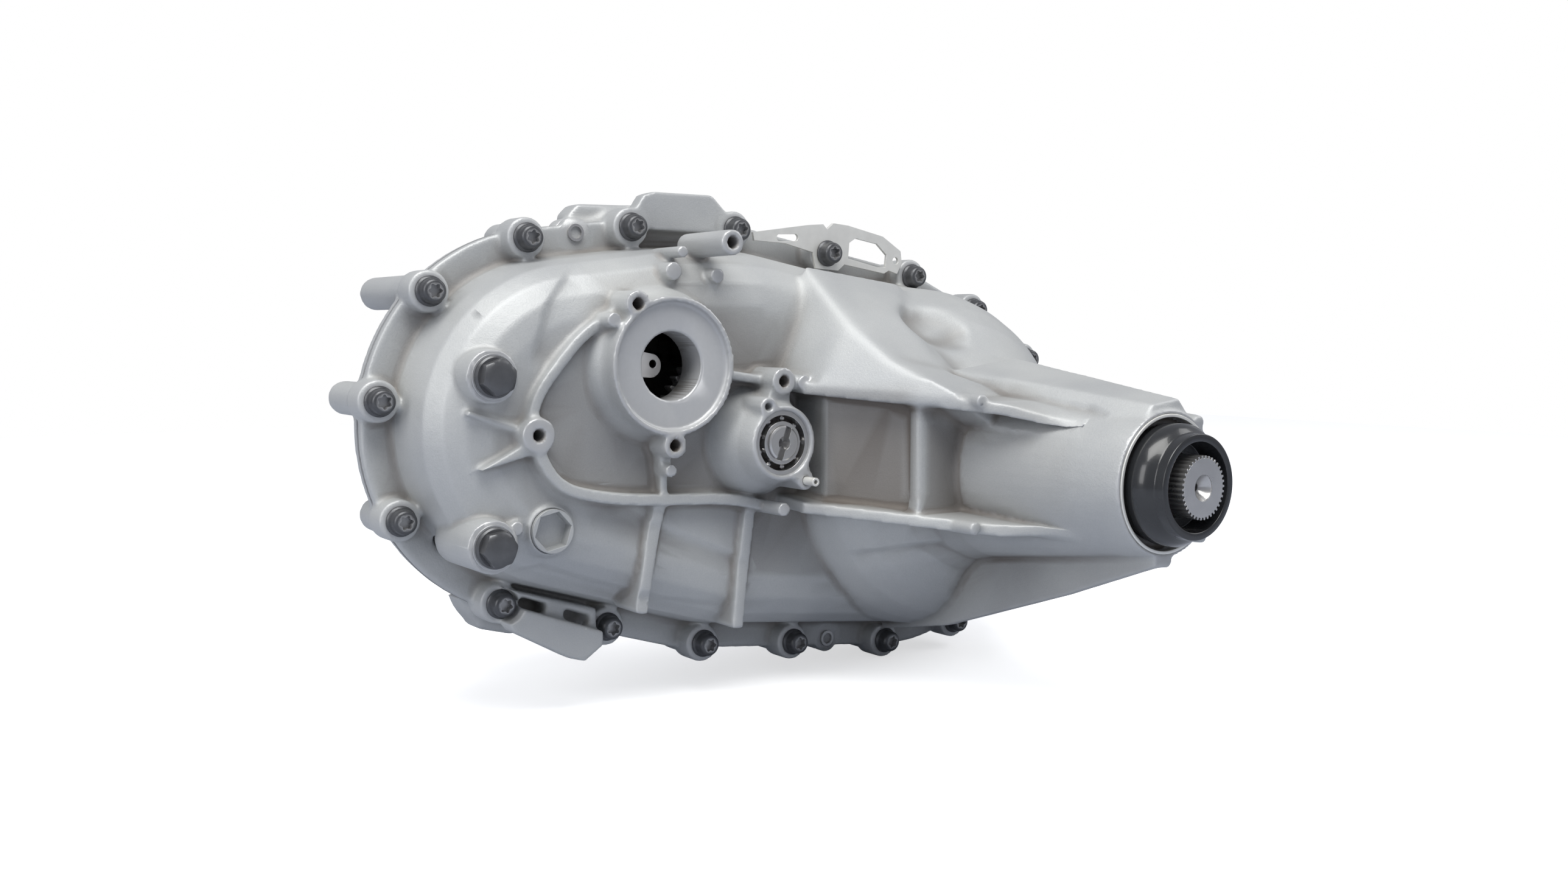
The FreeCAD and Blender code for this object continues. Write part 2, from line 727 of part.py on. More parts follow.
def socket_plug():
    body = rod(socket_plug_place, socket_plug_radius, socket_plug_face, socket_plug_face + 14)
    return body.cut(hexagon(socket_plug_place, socket_plug_flat, socket_plug_face - 1,
                            socket_plug_face + 7, 12))


def harness_bracket():
    """Pressed plate under one flange bolt, with a slotted wing and a looped wing."""
    y_back, y_front = -lug_length, -lug_length - bracket_thick
    outline = [(-111, 137), (-112, 142), (-70, 148), (-58, 149), (-55, 146), (-50, 150),
               (-38, 149), (-9, 143), (6, 134), (7, 126), (3, 119), (-4, 121), (-8, 119),
               (-41, 124), (-46, 120), (-64, 121), (-66, 131), (-88, 136)]
    window = [(-38, 128), (-37, 138), (-32, 141), (-14, 138), (-6, 131), (-7, 123), (-14, 123)]
    sheet = plate(outline, y_back, y_front)
    slot = hull_bar((-92, 139.3), (-80, 139.8), 2.2, 2.2, y_back + 1, y_front - 1)
    return less(sheet, [plate(window, y_back + 1, y_front - 1), slot,
                        rod(bracket_bolt, bolt_radius, y_back + 1, y_front - 1),
                        rod((1.5, 127.5), 2.4, y_back + 1, y_front - 1)])


# ---- toothed forms ------------------------------------------------------------------------


def involute(angle):
    return math.tan(angle) - angle


def gear_section(module, teeth, centre, first_angle, count=None, backlash=0.0):
    """Corners of an involute gear, or of a run of count teeth, from its first tooth."""
    pressure = math.radians(20)
    pitch_radius = module * teeth / 2
    base = pitch_radius * math.cos(pressure)
    root, tip = pitch_radius - 1.25 * module, pitch_radius + module
    half_pitch = (math.pi * module / 2 - backlash) / (2 * pitch_radius)
    corners = []
    for i in range(count or teeth):
        middle = math.radians(first_angle + 360.0 * i / teeth)
        flank = []
        for radius in (root, pitch_radius, tip):
            at = math.acos(min(1.0, base / max(radius, base)))
            flank.append((radius, half_pitch + involute(pressure) - involute(at)))
        for radius, half in flank:
            corners.append(polar(centre, radius, math.degrees(middle - half)))
        for radius, half in reversed(flank):
            corners.append(polar(centre, radius, math.degrees(middle + half)))
    return corners


def splined(centre, outside, depth, count, y_from, y_to):
    """Round shaft end with straight-sided splines."""
    corners = []
    for i in range(count):
        middle = 360.0 * i / count
        wide, narrow = 90.0 / count * 1.15, 90.0 / count * 0.7
        corners.append(polar(centre, outside - depth, middle - wide))
        corners.append(polar(centre, outside, middle - narrow))
        corners.append(polar(centre, outside, middle + narrow))
        corners.append(polar(centre, outside - depth, middle + wide))
    return plate(corners, y_from, y_to)


pitch_radius = chain_pitch / (2 * math.sin(math.pi / sprocket_teeth))
link_inner = pitch_radius - 1.5
tooth_root = pitch_radius - 7.0
tooth_wide, tooth_narrow = 2.1, 1.4
tooth_play = 0.9


def sprocket_teeth_form(centre, phase):
    """Toothed rim that fits between the inward teeth of the chain."""
    corners = []
    for i in range(sprocket_teeth):
        gap = phase + 360.0 * i / sprocket_teeth
        half = 180.0 / sprocket_teeth
        low = math.degrees((tooth_narrow + tooth_play) / tooth_root)
        high = math.degrees((tooth_wide + tooth_play) / link_inner)
        corners.append(polar(centre, tooth_root, gap - low))
        corners.append(polar(centre, tooth_root, gap + low))
        corners.append(polar(centre, link_inner - chain_gap, gap + high))
        corners.append(polar(centre, link_inner - chain_gap, gap + 2 * half - high))
    return plate(corners, chain_y, chain_y + chain_width)


def link_form(middle, run):
    """One link: a bar with an inward tooth, at a (x, z) place and run direction."""
    out = (-run[1], run[0])
    half = chain_pitch / 2 - link_gap
    inner, outer = link_inner - pitch_radius, link_inner - pitch_radius + link_height
    tooth = tooth_root + chain_gap - pitch_radius
    shape = [(-half, outer - 1.5), (-half + 1.5, outer), (half - 1.5, outer), (half, outer - 1.5),
             (half, inner), (tooth_wide, inner), (tooth_narrow, tooth), (-tooth_narrow, tooth),
             (-tooth_wide, inner), (-half, inner)]
    corners = [(middle[0] + run[0] * a + out[0] * b, middle[1] + run[1] * a + out[1] * b)
               for a, b in shape]
    return plate(corners, chain_y + 1, chain_y + chain_width - 1)


def chain_places():
    """Middles of the links and the directions in which they run, once round both sprockets."""
    line = math.radians(drive_line_angle)
    run = (math.cos(line), math.sin(line))
    places = []
    for side in (1, -1):
        for i in range((chain_links - sprocket_teeth) // 2):
            along = (i + 0.5) * chain_pitch
            middle = (run[0] * along - side * run[1] * pitch_radius,
                      run[1] * along + side * run[0] * pitch_radius)
            places.append((middle, (side * run[0], side * run[1])))
    half_step = 180.0 / sprocket_teeth
    for centre, start in ((MAIN, drive_line_angle + 90), (OUTPUT, drive_line_angle - 90)):
        for i in range(sprocket_teeth // 2):
            angle = start + half_step * (2 * i + 1)
            middle = polar(centre, pitch_radius * math.cos(math.radians(half_step)), angle)
            places.append((middle, polar((0, 0), 1, angle - 90)))
    return places


def chain():
    return group([link_form(middle, run) for middle, run in chain_places()])


def sprocket_rim(centre, web_radius):
    """Toothed ring on a web that is thinner than the teeth."""
    phase = drive_line_angle + 90 + 180.0 / sprocket_teeth
    teeth = sprocket_teeth_form(centre, phase)
    middle = chain_y + chain_width / 2
    hollow = rim_inner - 1
    dishes = [tube(centre, hollow, web_radius, middle + side * 6, middle + side * 20)
              for side in (1, -1)]
    return less(teeth, dishes)


# ---- main shaft and its bearings ---------------------------------------------------------------


def main_shaft():
    journal_end = nose_end + nose_recess + 2
    body = turned(MAIN, [(0, shaft_front), (front_bearing_bore, shaft_front),
                         (front_bearing_bore, front_bearing_y - 4),
                         (pump_shaft_radius, front_bearing_y - 4),
                         (pump_shaft_radius, pump_y - 6), (shaft_radius, pump_y - 8),
                         (shaft_radius, -215), (rear_bearing_bore, -221),
                         (rear_bearing_bore, journal_end), (15.0, journal_end - 1),
                         (15.0, shaft_end + spline_length), (0, shaft_end + spline_length)])
    nose = splined(MAIN, spline_radius, spline_depth, spline_count, shaft_end,
                   shaft_end + spline_length)
    countersink = turned(MAIN, [(0, shaft_end - 1), (shaft_centre_radius, shaft_end - 1),
                                (shaft_centre_radius, shaft_end + 0.5), (2.5, shaft_end + 6),
                                (2.5, shaft_end + 14), (0, shaft_end + 14)])
    socket = splined(MAIN, input_bore + spline_depth, spline_depth, input_spline_count,
                     shaft_front + 1, shaft_front - input_depth)
    return one_solid(less(joined([body, nose]), [countersink, socket]))


def race_outer(centre, outside, bore, width, y):
    """Outer ring of a sealed bearing with both its seals."""
    middle = (outside + bore) / 2
    ring = tube(centre, outside, middle + 3, y, y + width)
    shields = [tube(centre, middle + 3, middle - 2.6, edge, edge + 1.2)
               for edge in (y + 0.6, y + width - 1.8)]
    return joined([ring] + shields)


def race_inner(centre, outside, bore, width, y):
    middle = (outside + bore) / 2
    return tube(centre, middle - 3, bore, y, y + width)


def snap_ring(centre, outside, y):
    ring = tube(centre, outside, outside - 3.5, y, y + snap_ring_thick)
    gap = Part.makeBox(7, snap_ring_thick + 2, 9,
                       point(centre[0] - 3.5, y - 1, centre[1] + outside - 8))
    return ring.cut(gap)


def lip_seal(centre, outside, bore, y_from, y_to):
    """Cased ring with a lip that just clears the shaft."""
    low, high = min(y_from, y_to), max(y_from, y_to)
    lip = bore + fit_gap
    return turned(centre, [(outside, low), (outside, high), (outside - 2, high),
                           (outside - 2, low + 2), (lip + 2, low + 2), (lip + 2, high - 1),
                           (lip, high - 2), (lip, low)])


def dust_shield():
    """Pressed shield that turns with the shaft and throws dirt clear of the seal."""
    web = shield_front + 15
    edge = nose_end + 1
    return turned(MAIN, [(spline_radius, web), (spline_radius, web + 4),
                         (shield_back_radius - shield_wall, web + 4),
                         (shield_back_radius - shield_wall, edge), (shield_back_radius, edge),
                         (shield_back_radius, shield_front + 12),
                         (shield_radius + 2.2, shield_front + 8),
                         (shield_radius, shield_front + 6), (shield_radius, shield_front),
                         (shield_opening, shield_front), (shield_opening, web)])


def nose_ring():
    return tube(MAIN, nose_radius - nose_ring_width / 2, nose_radius - nose_ring_width,
                nose_end + nose_ring_length, nose_end - 0.5)


# ---- chain drive and clutch --------------------------------------------------------------------


def drive_sprocket():
    """Sprocket with the long sleeve that carries the clutch hub."""
    sleeve = tube(MAIN, sleeve_radius, sleeve_bore, hub_y, chain_y + chain_width + 3)
    core = tube(MAIN, sleeve_radius + 6, sleeve_bore, sprocket_face, chain_y + chain_width + 2)
    collar = tube(MAIN, 44, sleeve_bore, sprocket_face, sprocket_face + 4)
    rim = sprocket_rim(MAIN, sleeve_radius + 6).cut(rod(MAIN, sleeve_bore, -99, 99))
    return one_solid(joined([rim, core, sleeve, collar]))


def sprocket_bushes():
    return group([tube(MAIN, sleeve_bore, shaft_radius + fit_gap, y, y + 18)
                  for y in (hub_y, chain_y + 4)])


def driven_sprocket():
    core = tube(OUTPUT, output_seat_radius + 9, output_seat_radius, chain_y - 4,
                chain_y + chain_width + 2)
    rim = sprocket_rim(OUTPUT, output_seat_radius + 9)
    return one_solid(joined([rim.cut(rod(OUTPUT, output_seat_radius, -99, 99)), core]))


def clutch_drum():
    """Outer member of the clutch, splined to the main shaft by its web."""
    web = drum_y
    return turned(MAIN, [(shaft_radius, web - 8), (shaft_radius + 8, web - 8),
                         (shaft_radius + 8, web), (drum_radius - 3, web), (drum_radius, web + 3),
                         (drum_radius, drum_mouth), (drum_radius - drum_wall, drum_mouth),
                         (drum_radius - drum_wall, web + drum_web), (shaft_radius, web + drum_web)])


def clutch_hub():
    return turned(MAIN, [(sleeve_radius, hub_y), (hub_radius, hub_y), (hub_radius, hub_mouth),
                         (hub_radius - 4, hub_mouth), (hub_radius - 4, hub_y + 6),
                         (sleeve_radius, hub_y + 6)])


def clutch_plates(first, outside, inside):
    """Every second plate of the pack, from the drum's web towards the cam."""
    pitch = plate_thick + plate_gap
    start = drum_y + drum_web + plate_gap
    return group([tube(MAIN, outside, inside, start + pitch * i, start + pitch * i + plate_thick)
                  for i in range(first, 2 * plate_pairs, 2)])


def pressure_plate():
    return tube(MAIN, drum_radius - drum_wall - clear, sleeve_radius + 2, pressure_y,
                pressure_y + pressure_thick)


def thrust_bearing(y):
    """Flat roller bearing: one race with its rollers standing on it."""
    race = tube(MAIN, 44, sleeve_radius + 1.5, y, y + 1.2)
    pins = []
    for i in range(10):
        inner, outer = polar(MAIN, 30, 36.0 * i), polar(MAIN, 41, 36.0 * i)
        run = point(outer[0] - inner[0], 0, outer[1] - inner[1])
        pins.append(Part.makeCylinder(1.15, run.Length, point(inner[0], y + 2.35, inner[1]), run))
    return group([race] + pins)


def disc_spring():
    low = hub_mouth
    return turned(MAIN, [(hub_radius - 1, low), (hub_radius - 1, low + 0.9),
                         (sleeve_radius + 3, low + 1.6), (sleeve_radius + 3, low + 0.7)])


# ---- ball ramp and actuator --------------------------------------------------------------------


def cam_ring():
    """Ring with the ramps and a long toothed arm that the actuator's pinion turns."""
    ring = tube(MAIN, 46, sleeve_radius + 1, cam_y, cam_y + cam_width)
    step = 360.0 / cam_teeth
    first = actuator_angle + (0.5 - cam_arm_before) * step
    count = cam_arm_before + cam_arm_after
    teeth = gear_section(cam_module, cam_teeth, MAIN, first, count, gear_backlash)
    inner = cam_module * cam_teeth / 2 - 9
    low, high = first - step * 0.6, first + step * (count - 0.4)
    back = [polar(MAIN, inner, high - (high - low) * i / 5) for i in range(6)]
    sector = plate(teeth + back, cam_y, cam_y + cam_width)
    middle = (low + high) / 2
    arm = hull_bar(polar(MAIN, 34, middle), polar(MAIN, inner - 4, middle), 12, 9, cam_y,
                   cam_y + cam_width)
    arm = arm.cut(rod(MAIN, 40, cam_y - 1, cam_y + cam_width + 1))
    grooves = [ramp_groove(place) for place in ball_places()]
    return one_solid(less(joined([ring, arm, sector]), grooves))


def ramp_groove(place):
    """Sloping groove that a ball climbs while the cam ring turns over its travel."""
    face, side = cam_y + cam_width, ball_radius + 0.5
    floor = face + ball_gap / 2 - ball_radius - 0.4
    turn = math.radians(-cam_travel)
    end = (place[0] * math.cos(turn) - place[1] * math.sin(turn),
           place[0] * math.sin(turn) + place[1] * math.cos(turn))
    run = math.hypot(end[0] - place[0], end[1] - place[1])
    along = ((end[0] - place[0]) / run, (end[1] - place[1]) / run)
    across = (-along[1], along[0])
    section = [(-side, face + 1), (-side, floor), (0, floor), (run, floor + clutch_travel),
               (run + side, floor + clutch_travel), (run + side, face + 1)]
    ring = [point(place[0] + along[0] * s - across[0] * side, y,
                  place[1] + along[1] * s - across[1] * side) for s, y in section]
    wall_face = Part.Face(Part.makePolygon(ring + ring[:1]))
    return wall_face.extrude(point(2 * side * across[0], 0, 2 * side * across[1]))


def ball(radius, place):
    """Ball as a turned octagon, plenty round for its size."""
    x, y, z = place
    reach = radius / math.cos(math.pi / 8)
    corners = [(reach * math.cos(math.radians(22.5 + 45 * i)),
                y + reach * math.sin(math.radians(22.5 + 45 * i))) for i in (-2, -1, 0, 1)]
    return turned((x, z), [(0, corners[0][1])] + corners + [(0, corners[-1][1])])


def ball_places():
    return [polar(MAIN, 36, 72.0 * i + 18) for i in range(5)]


def ramp_ring():
    """Fixed half of the ball ramp, held from turning by its arm on a peg of the case."""
    ring = tube(MAIN, 46, sleeve_radius + 1, ramp_y, ramp_y + ramp_thick)
    arm = hull_bar(polar(MAIN, 36, ramp_peg_angle), ramp_peg_place, 11, 9, ramp_y,
                   ramp_y + ramp_thick)
    arm = arm.cut(rod(MAIN, 40, ramp_y - 1, ramp_y + ramp_thick + 1))
    pockets = [ball(ball_radius + 0.15, (x, ramp_y - ball_gap / 2, z))
               for x, z in ball_places()]
    return one_solid(less(joined([ring, arm]), pockets + [rod(ramp_peg_place, 6, -60, 0)]))


def ramp_balls():
    return group([ball(ball_radius, (x, ramp_y - ball_gap / 2, z))
                  for x, z in ball_places()])


def actuator_shaft():
    mouth = port_end + port_lip
    shaft = turned(ACTUATOR, [(0, actuator_tail), (actuator_tail_radius, actuator_tail),
                              (actuator_tail_radius, -18), (port_bearing_bore, -18),
                              (port_bearing_bore, mouth - 1.5), (port_bearing_bore - 1, mouth - 2),
                              (0, mouth - 2)])
    slot = Part.makeBox(40, slot_depth + 1, slot_width, point(-20, 0, -slot_width / 2))
    slot.rotate(point(0, 0, 0), ALONG_Y, -slot_tilt)
    slot.translate(point(ACTUATOR[0], mouth - 3, ACTUATOR[1]))
    centre = turned(ACTUATOR, [(0, mouth - 3), (4, mouth - 3), (4, mouth - 2), (1.5, mouth + 6),
                               (0, mouth + 6)])
    return one_solid(less(shaft, [slot, centre]))


def cam_pinion():
    teeth = gear_section(cam_module, pinion_teeth, ACTUATOR, actuator_angle + 180, None,
                         gear_backlash)
    wheel = plate(teeth, cam_y - 1, cam_y + cam_width + 1)
    hub = rod(ACTUATOR, port_bearing_bore + 6, cam_y - 4, cam_y + cam_width + 3)
    return one_solid(joined([wheel, hub]).cut(rod(ACTUATOR, port_bearing_bore, -99, 99)))


def motor_gear():
    """Toothed sector that the actuator motor turns."""
    step = 360.0 / motor_gear_teeth
    count = int(actuator_travel / step) + 4
    first = motor_angle - 1.5 * step
    teeth = gear_section(motor_gear_module, motor_gear_teeth, ACTUATOR, first, count,
                         gear_backlash)
    inner = motor_gear_module * motor_gear_teeth / 2 - 10
    low, high = first - step * 0.6, first + step * (count - 0.4)
    back = [polar(ACTUATOR, inner, high - (high - low) * i / 6) for i in range(7)]
    sector = plate(teeth + back, motor_gear_y, motor_gear_y + motor_gear_width)
    hub = rod(ACTUATOR, port_bearing_bore + 7, motor_gear_y, motor_gear_y + 11)
    spokes = [hull_bar(ACTUATOR, polar(ACTUATOR, inner + 3, angle), 11, 6, motor_gear_y,
                       motor_gear_y + motor_gear_width) for angle in (low + 9, high - 9)]
    return one_solid(joined([sector, hub] + spokes).cut(rod(ACTUATOR, port_bearing_bore, -99, 99)))


def port_bearing_parts():
    y = port_end + port_lip
    outer = tube(ACTUATOR, port_bearing_radius, 15.8, y, y + port_bearing_width)
    inner = tube(ACTUATOR, 12.4, port_bearing_bore, y, y + port_bearing_width)
    middle = (15.8 + 12.4) / 2
    balls = group([ball(1.6, (x, y + port_bearing_width / 2, z))
                   for x, z in (polar(ACTUATOR, middle, 40.0 * i) for i in range(9))])
    return outer, inner, balls


def actuator_bush():
    return tube(ACTUATOR, bush_radius, actuator_tail_radius + fit_gap, actuator_tail - bush_length,
                actuator_tail)


def gear_guard():
    """Small steel plate beside the motor gear, screwed to a post of the case."""
    sheet = hull_bar(guard_post_place, (-199, 62), 9, 7, guard_y, guard_y + 2)
    return sheet.cut(rod((-197.5, 63), 2.2, guard_y - 1, guard_y + 3))


def port_stud():
    return tube(ear_stud, stud_radius, stud_bore, port_end - stud_proud,
                port_end - stud_proud + stud_length)


# ---- front output ------------------------------------------------------------------------------


def front_output_shaft():
    nut_end = output_flange_y + output_flange_thick + 12
    return turned(OUTPUT, [(0, needle_y), (needle_bore, needle_y),
                           (needle_bore, needle_y + needle_length + 2),
                           (output_seat_radius, chain_y - 8),
                           (output_seat_radius, output_bearing_y - 6),
                           (output_seat_radius + 3, output_bearing_y - 6),
                           (output_seat_radius + 3, output_bearing_y - 2),
                           (output_bearing_bore, output_bearing_y - 2),
                           (output_bearing_bore, output_bearing_y + output_bearing_width + 2),
                           (flange_bore, output_bearing_y + output_bearing_width + 2),
                           (flange_bore, output_flange_y + output_flange_thick),
                           (nut_thread, output_flange_y + output_flange_thick),
                           (nut_thread, nut_end), (0, nut_end)])


def front_output_flange():
    face = output_flange_y + output_flange_thick
    body = turned(OUTPUT, [(flange_bore, output_bearing_y + output_bearing_width + 2),
                           (flange_hub, output_bearing_y + output_bearing_width + 2),
                           (flange_hub, output_flange_y), (output_flange_radius, output_flange_y),
                           (output_flange_radius, face), (28, face), (28, face - 3),
                           (flange_bore, face - 3)])
    holes = [rod(polar(OUTPUT, output_pcd / 2, 360.0 * i / output_holes), output_hole_radius,
                 output_flange_y - 1, face + 1) for i in range(output_holes)]
    return less(body, holes)


def flange_nut():
    face = output_flange_y + output_flange_thick - 3
    return joined([hexagon(OUTPUT, 32, face, face + 11), rod(OUTPUT, 21, face, face + 3)]).cut(
        rod(OUTPUT, nut_thread, face - 3, face + 20)).cut(rod(OUTPUT, flange_bore, face - 3, face + 3))


# ---- oil system ------------------------------------------------------------------------------------


def oil_pump_body():
    wall_face = front_depth - wall
    body = turned(MAIN, [(pump_shaft_radius + 1, pump_y), (pump_radius, pump_y),
                         (pump_radius, wall_face), (pump_rotor_radius + 1, wall_face),
                         (pump_rotor_radius + 1, pump_y + 4), (pump_shaft_radius + 1, pump_y + 4)])
    port = rod(pickup_top, 6, pump_y + 4, wall_face)
    return joined([body, port.cut(rod(MAIN, pump_radius - 2, -99, 99))])


def oil_pump_rotor():
    lobes = []
    for i in range(6):
        lobes.append(rod(polar(MAIN, pump_rotor_radius - 4, 60.0 * i), 3.6, pump_y + 5,
                         pump_y + 12))
    core = rod(MAIN, pump_rotor_radius - 3, pump_y + 5, pump_y + 12)
    return joined([core] + lobes).cut(rod(MAIN, pump_shaft_radius, -99, 99))


def oil_pickup():
    """Pipe from the pump down to a strainer in the sump."""
    y = pump_y + 5
    top, bottom = pickup_top, pickup_foot
    run = point(bottom[0] - top[0], 0, bottom[1] - top[1])
    unit = point(run.x / run.Length, 0, run.z / run.Length)
    start = point(top[0], y, top[1]) + unit * 6
    pipe = Part.makeCylinder(4, run.Length - 8, start, run)
    screen = Part.makeBox(34, 18, 9, point(bottom[0] - 17, y - 13, bottom[1] - 6))
    return joined([pipe.cut(rod(pickup_top, 6, -99, 99)), screen])


def magnet():
    return rod(magnet_place, 9, front_depth - wall - 5, front_depth - wall)


def breather():
    top = front_depth + 14
    return turned(breather_place, [(0, 52), (breather_radius, 52), (breather_radius, top - 8),
                                   (7, top - 8), (7.5, top - 3), (5.5, top), (0, top)])


# ---- write --------------------------------------------------------------------------------


def main():
    node("rear_case", rear_case())
    node("front_case", front_case())
    node("case_sealant", case_sealant())
    node("flange_bolts", flange_bolts())
    node("locating_dowels", locating_dowels())
    node("fill_plug", oil_plug(fill_place, 20))
    node("drain_plug", oil_plug(drain_place, 8))
    node("fill_washer", plug_washer(fill_place))
    node("drain_washer", plug_washer(drain_place))
    node("socket_plug", socket_plug())
    node("harness_bracket", harness_bracket())
    node("port_stud", port_stud())
    node("nose_ring", nose_ring())
    node("dust_shield", dust_shield())
    node("main_shaft", main_shaft())
    rear_y = nose_end + 26 - rear_bearing_width
    for name, centre, outside, bore, width, y in (
            ("rear_bearing", MAIN, rear_bearing_radius, rear_bearing_bore, rear_bearing_width,
             rear_y),
            ("front_bearing", MAIN, front_bearing_radius, front_bearing_bore,
             front_bearing_width, front_bearing_y),
            ("output_bearing", OUTPUT, output_bearing_radius, output_bearing_bore,
             output_bearing_width, output_bearing_y)):
        node(name + "_outer", race_outer(centre, outside, bore, width, y))
        node(name + "_inner", race_inner(centre, outside, bore, width, y))
    node("snap_rings", group([snap_ring(MAIN, rear_bearing_radius, rear_y - snap_ring_thick),
                              snap_ring(OUTPUT, output_bearing_radius,
                                        output_bearing_y - snap_ring_thick)]))
    seal_y = rear_y - snap_ring_thick - 0.25
    node("rear_seal", lip_seal(MAIN, rear_bearing_radius, rear_bearing_bore,
                               seal_y - rear_seal_width, seal_y))
    input_seal_y = front_bearing_y + front_bearing_width + 1
    node("input_seal", lip_seal(MAIN, front_bearing_radius, front_bearing_bore, input_seal_y,
                                input_seal_y + input_seal_width))
    node("drive_sprocket", drive_sprocket())
    node("sprocket_bushes", sprocket_bushes())
    node("driven_sprocket", driven_sprocket())
    node("chain", chain())
    node("clutch_drum", clutch_drum())
    node("clutch_hub", clutch_hub())
    node("friction_plates", clutch_plates(0, plate_outer - 2, hub_radius))
    node("steel_plates", clutch_plates(1, drum_radius - drum_wall, plate_inner))
    node("pressure_plate", pressure_plate())
    node("thrust_bearing", thrust_bearing(thrust_y))
    node("reaction_bearing", thrust_bearing(reaction_y))
    node("disc_spring", disc_spring())
    node("cam_ring", cam_ring())
    node("ramp_ring", ramp_ring())
    node("ramp_balls", ramp_balls())
    node("actuator_shaft", actuator_shaft())
    node("cam_pinion", cam_pinion())
    node("motor_gear", motor_gear())
    outer, inner, balls = port_bearing_parts()
    node("actuator_bearing_outer", outer)
    node("actuator_bearing_inner", inner)
    node("actuator_bearing_balls", balls)
    node("actuator_bush", actuator_bush())
    node("gear_guard", gear_guard())
    node("front_output_shaft", front_output_shaft())
    node("front_output_flange", front_output_flange())
    node("flange_nut", flange_nut())
    node("output_needle", tube(OUTPUT, needle_radius, needle_bore + fit_gap, needle_y,
                               needle_y + needle_length))
    seal_start = output_bearing_y + output_bearing_width + 3
    node("output_seal", lip_seal(OUTPUT, output_bearing_radius - 4, flange_hub, seal_start,
                                 seal_start + output_seal_width))
    node("oil_pump_body", oil_pump_body())
    node("oil_pump_rotor", oil_pump_rotor())
    node("oil_pickup", oil_pickup())
    node("magnet", magnet())
    node("breather", breather())
    for name, shape in nodes.items():
        shape.translate(point(0, -adapter_end, 0))
        shape.exportStep(f"parts/{name}.step")
        print(name, round(shape.Volume), shape.isValid(), len(shape.Solids))


main()
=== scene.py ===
# %% [markdown]
# # A transfer case, dressed over its exact parts
# The exact parts come from a CAD model in metres. This lesson gives them cast and machined
# surfaces, rounds their edges, and builds the small steel parts again with more care.
# The frame is loaded first, because every new piece takes its place and size from it.

# %% Load the exact parts
import json
import math
import bmesh
import bpy
import numpy as np
from mathutils import Matrix, Vector


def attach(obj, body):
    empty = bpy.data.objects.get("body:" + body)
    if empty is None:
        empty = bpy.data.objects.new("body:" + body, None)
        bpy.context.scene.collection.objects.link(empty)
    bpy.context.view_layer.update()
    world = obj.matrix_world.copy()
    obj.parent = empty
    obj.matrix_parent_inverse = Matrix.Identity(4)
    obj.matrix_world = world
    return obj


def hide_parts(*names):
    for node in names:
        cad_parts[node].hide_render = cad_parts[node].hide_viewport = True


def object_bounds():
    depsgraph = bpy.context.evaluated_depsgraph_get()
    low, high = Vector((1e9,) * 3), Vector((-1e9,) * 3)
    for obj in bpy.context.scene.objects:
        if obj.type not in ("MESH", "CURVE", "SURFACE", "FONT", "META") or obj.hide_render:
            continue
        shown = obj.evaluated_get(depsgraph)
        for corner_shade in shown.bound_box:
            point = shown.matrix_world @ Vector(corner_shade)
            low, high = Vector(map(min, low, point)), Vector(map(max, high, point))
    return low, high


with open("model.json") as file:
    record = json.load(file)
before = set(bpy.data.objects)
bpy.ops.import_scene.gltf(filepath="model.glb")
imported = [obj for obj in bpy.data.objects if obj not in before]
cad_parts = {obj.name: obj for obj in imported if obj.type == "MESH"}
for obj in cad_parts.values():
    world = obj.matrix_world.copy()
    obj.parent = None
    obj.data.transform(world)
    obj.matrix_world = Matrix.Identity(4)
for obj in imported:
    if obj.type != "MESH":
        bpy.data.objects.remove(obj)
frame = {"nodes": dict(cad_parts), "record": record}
nodes = frame["nodes"]
record = frame["record"]
start_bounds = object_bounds()
MM = 0.001
face_y = -0.098                  # plane between the two halves, behind the gearbox face
print(len(nodes), "parts in the frame")

# %% [markdown]
# ## Places
# The two shaft lines, the actuator and the motor seat are worked out from the same few
# dimensions as the exact parts, so that rings and screws land on their bores.

# %% Shaft lines and places


def polar(centre, radius, angle):
    turn = math.radians(angle)
    return (centre[0] + radius * math.cos(turn), centre[1] + radius * math.sin(turn))


main_axis = (0.0, 0.0)
output_axis = polar(main_axis, 0.238125, 174.8)
actuator_axis = polar(main_axis, 0.139, 172.6)
seat_axis = polar(actuator_axis, 0.079, 145.6)
nose_end = face_y - 0.250
shaft_end = face_y - 0.273
port_end = face_y - 0.090
seat_end = face_y - 0.078


def merged(name, gap=2e-6):
    """An exact part, whose triangles lie loose, with their shared corners joined."""
    bm = bmesh.new()
    bm.from_mesh(nodes[name].data)
    bmesh.ops.remove_doubles(bm, verts=bm.verts, dist=gap)
    return bm


def mesh_of(bm, name):
    mesh = bpy.data.meshes.new(name)
    bm.to_mesh(mesh)
    bm.free()
    return mesh


def islands(name):
    """Middle and size of each loose solid of a part, as (centre, box size)."""
    bm = merged(name, 1e-6)
    bm.verts.ensure_lookup_table()
    seen = set()
    found = []
    for vert in bm.verts:
        if vert.index in seen:
            continue
        stack, members = [vert], []
        seen.add(vert.index)
        while stack:
            here = stack.pop()
            members.append(here.co.copy())
            for edge in here.link_edges:
                other = edge.other_vert(here)
                if other.index not in seen:
                    seen.add(other.index)
                    stack.append(other)
        low = Vector([min(c[i] for c in members) for i in range(3)])
        high = Vector([max(c[i] for c in members) for i in range(3)])
        found.append(((low + high) / 2, high - low))
    bm.free()
    return found


bolt_boxes = islands("flange_bolts")
bolt_places = [(centre.x, centre.z, centre.y - size.y / 2) for centre, size in bolt_boxes]
dowel_places = [(centre.x / MM, centre.z / MM) for centre, size in islands("locating_dowels")]
print(len(bolt_places), "flange bolts")

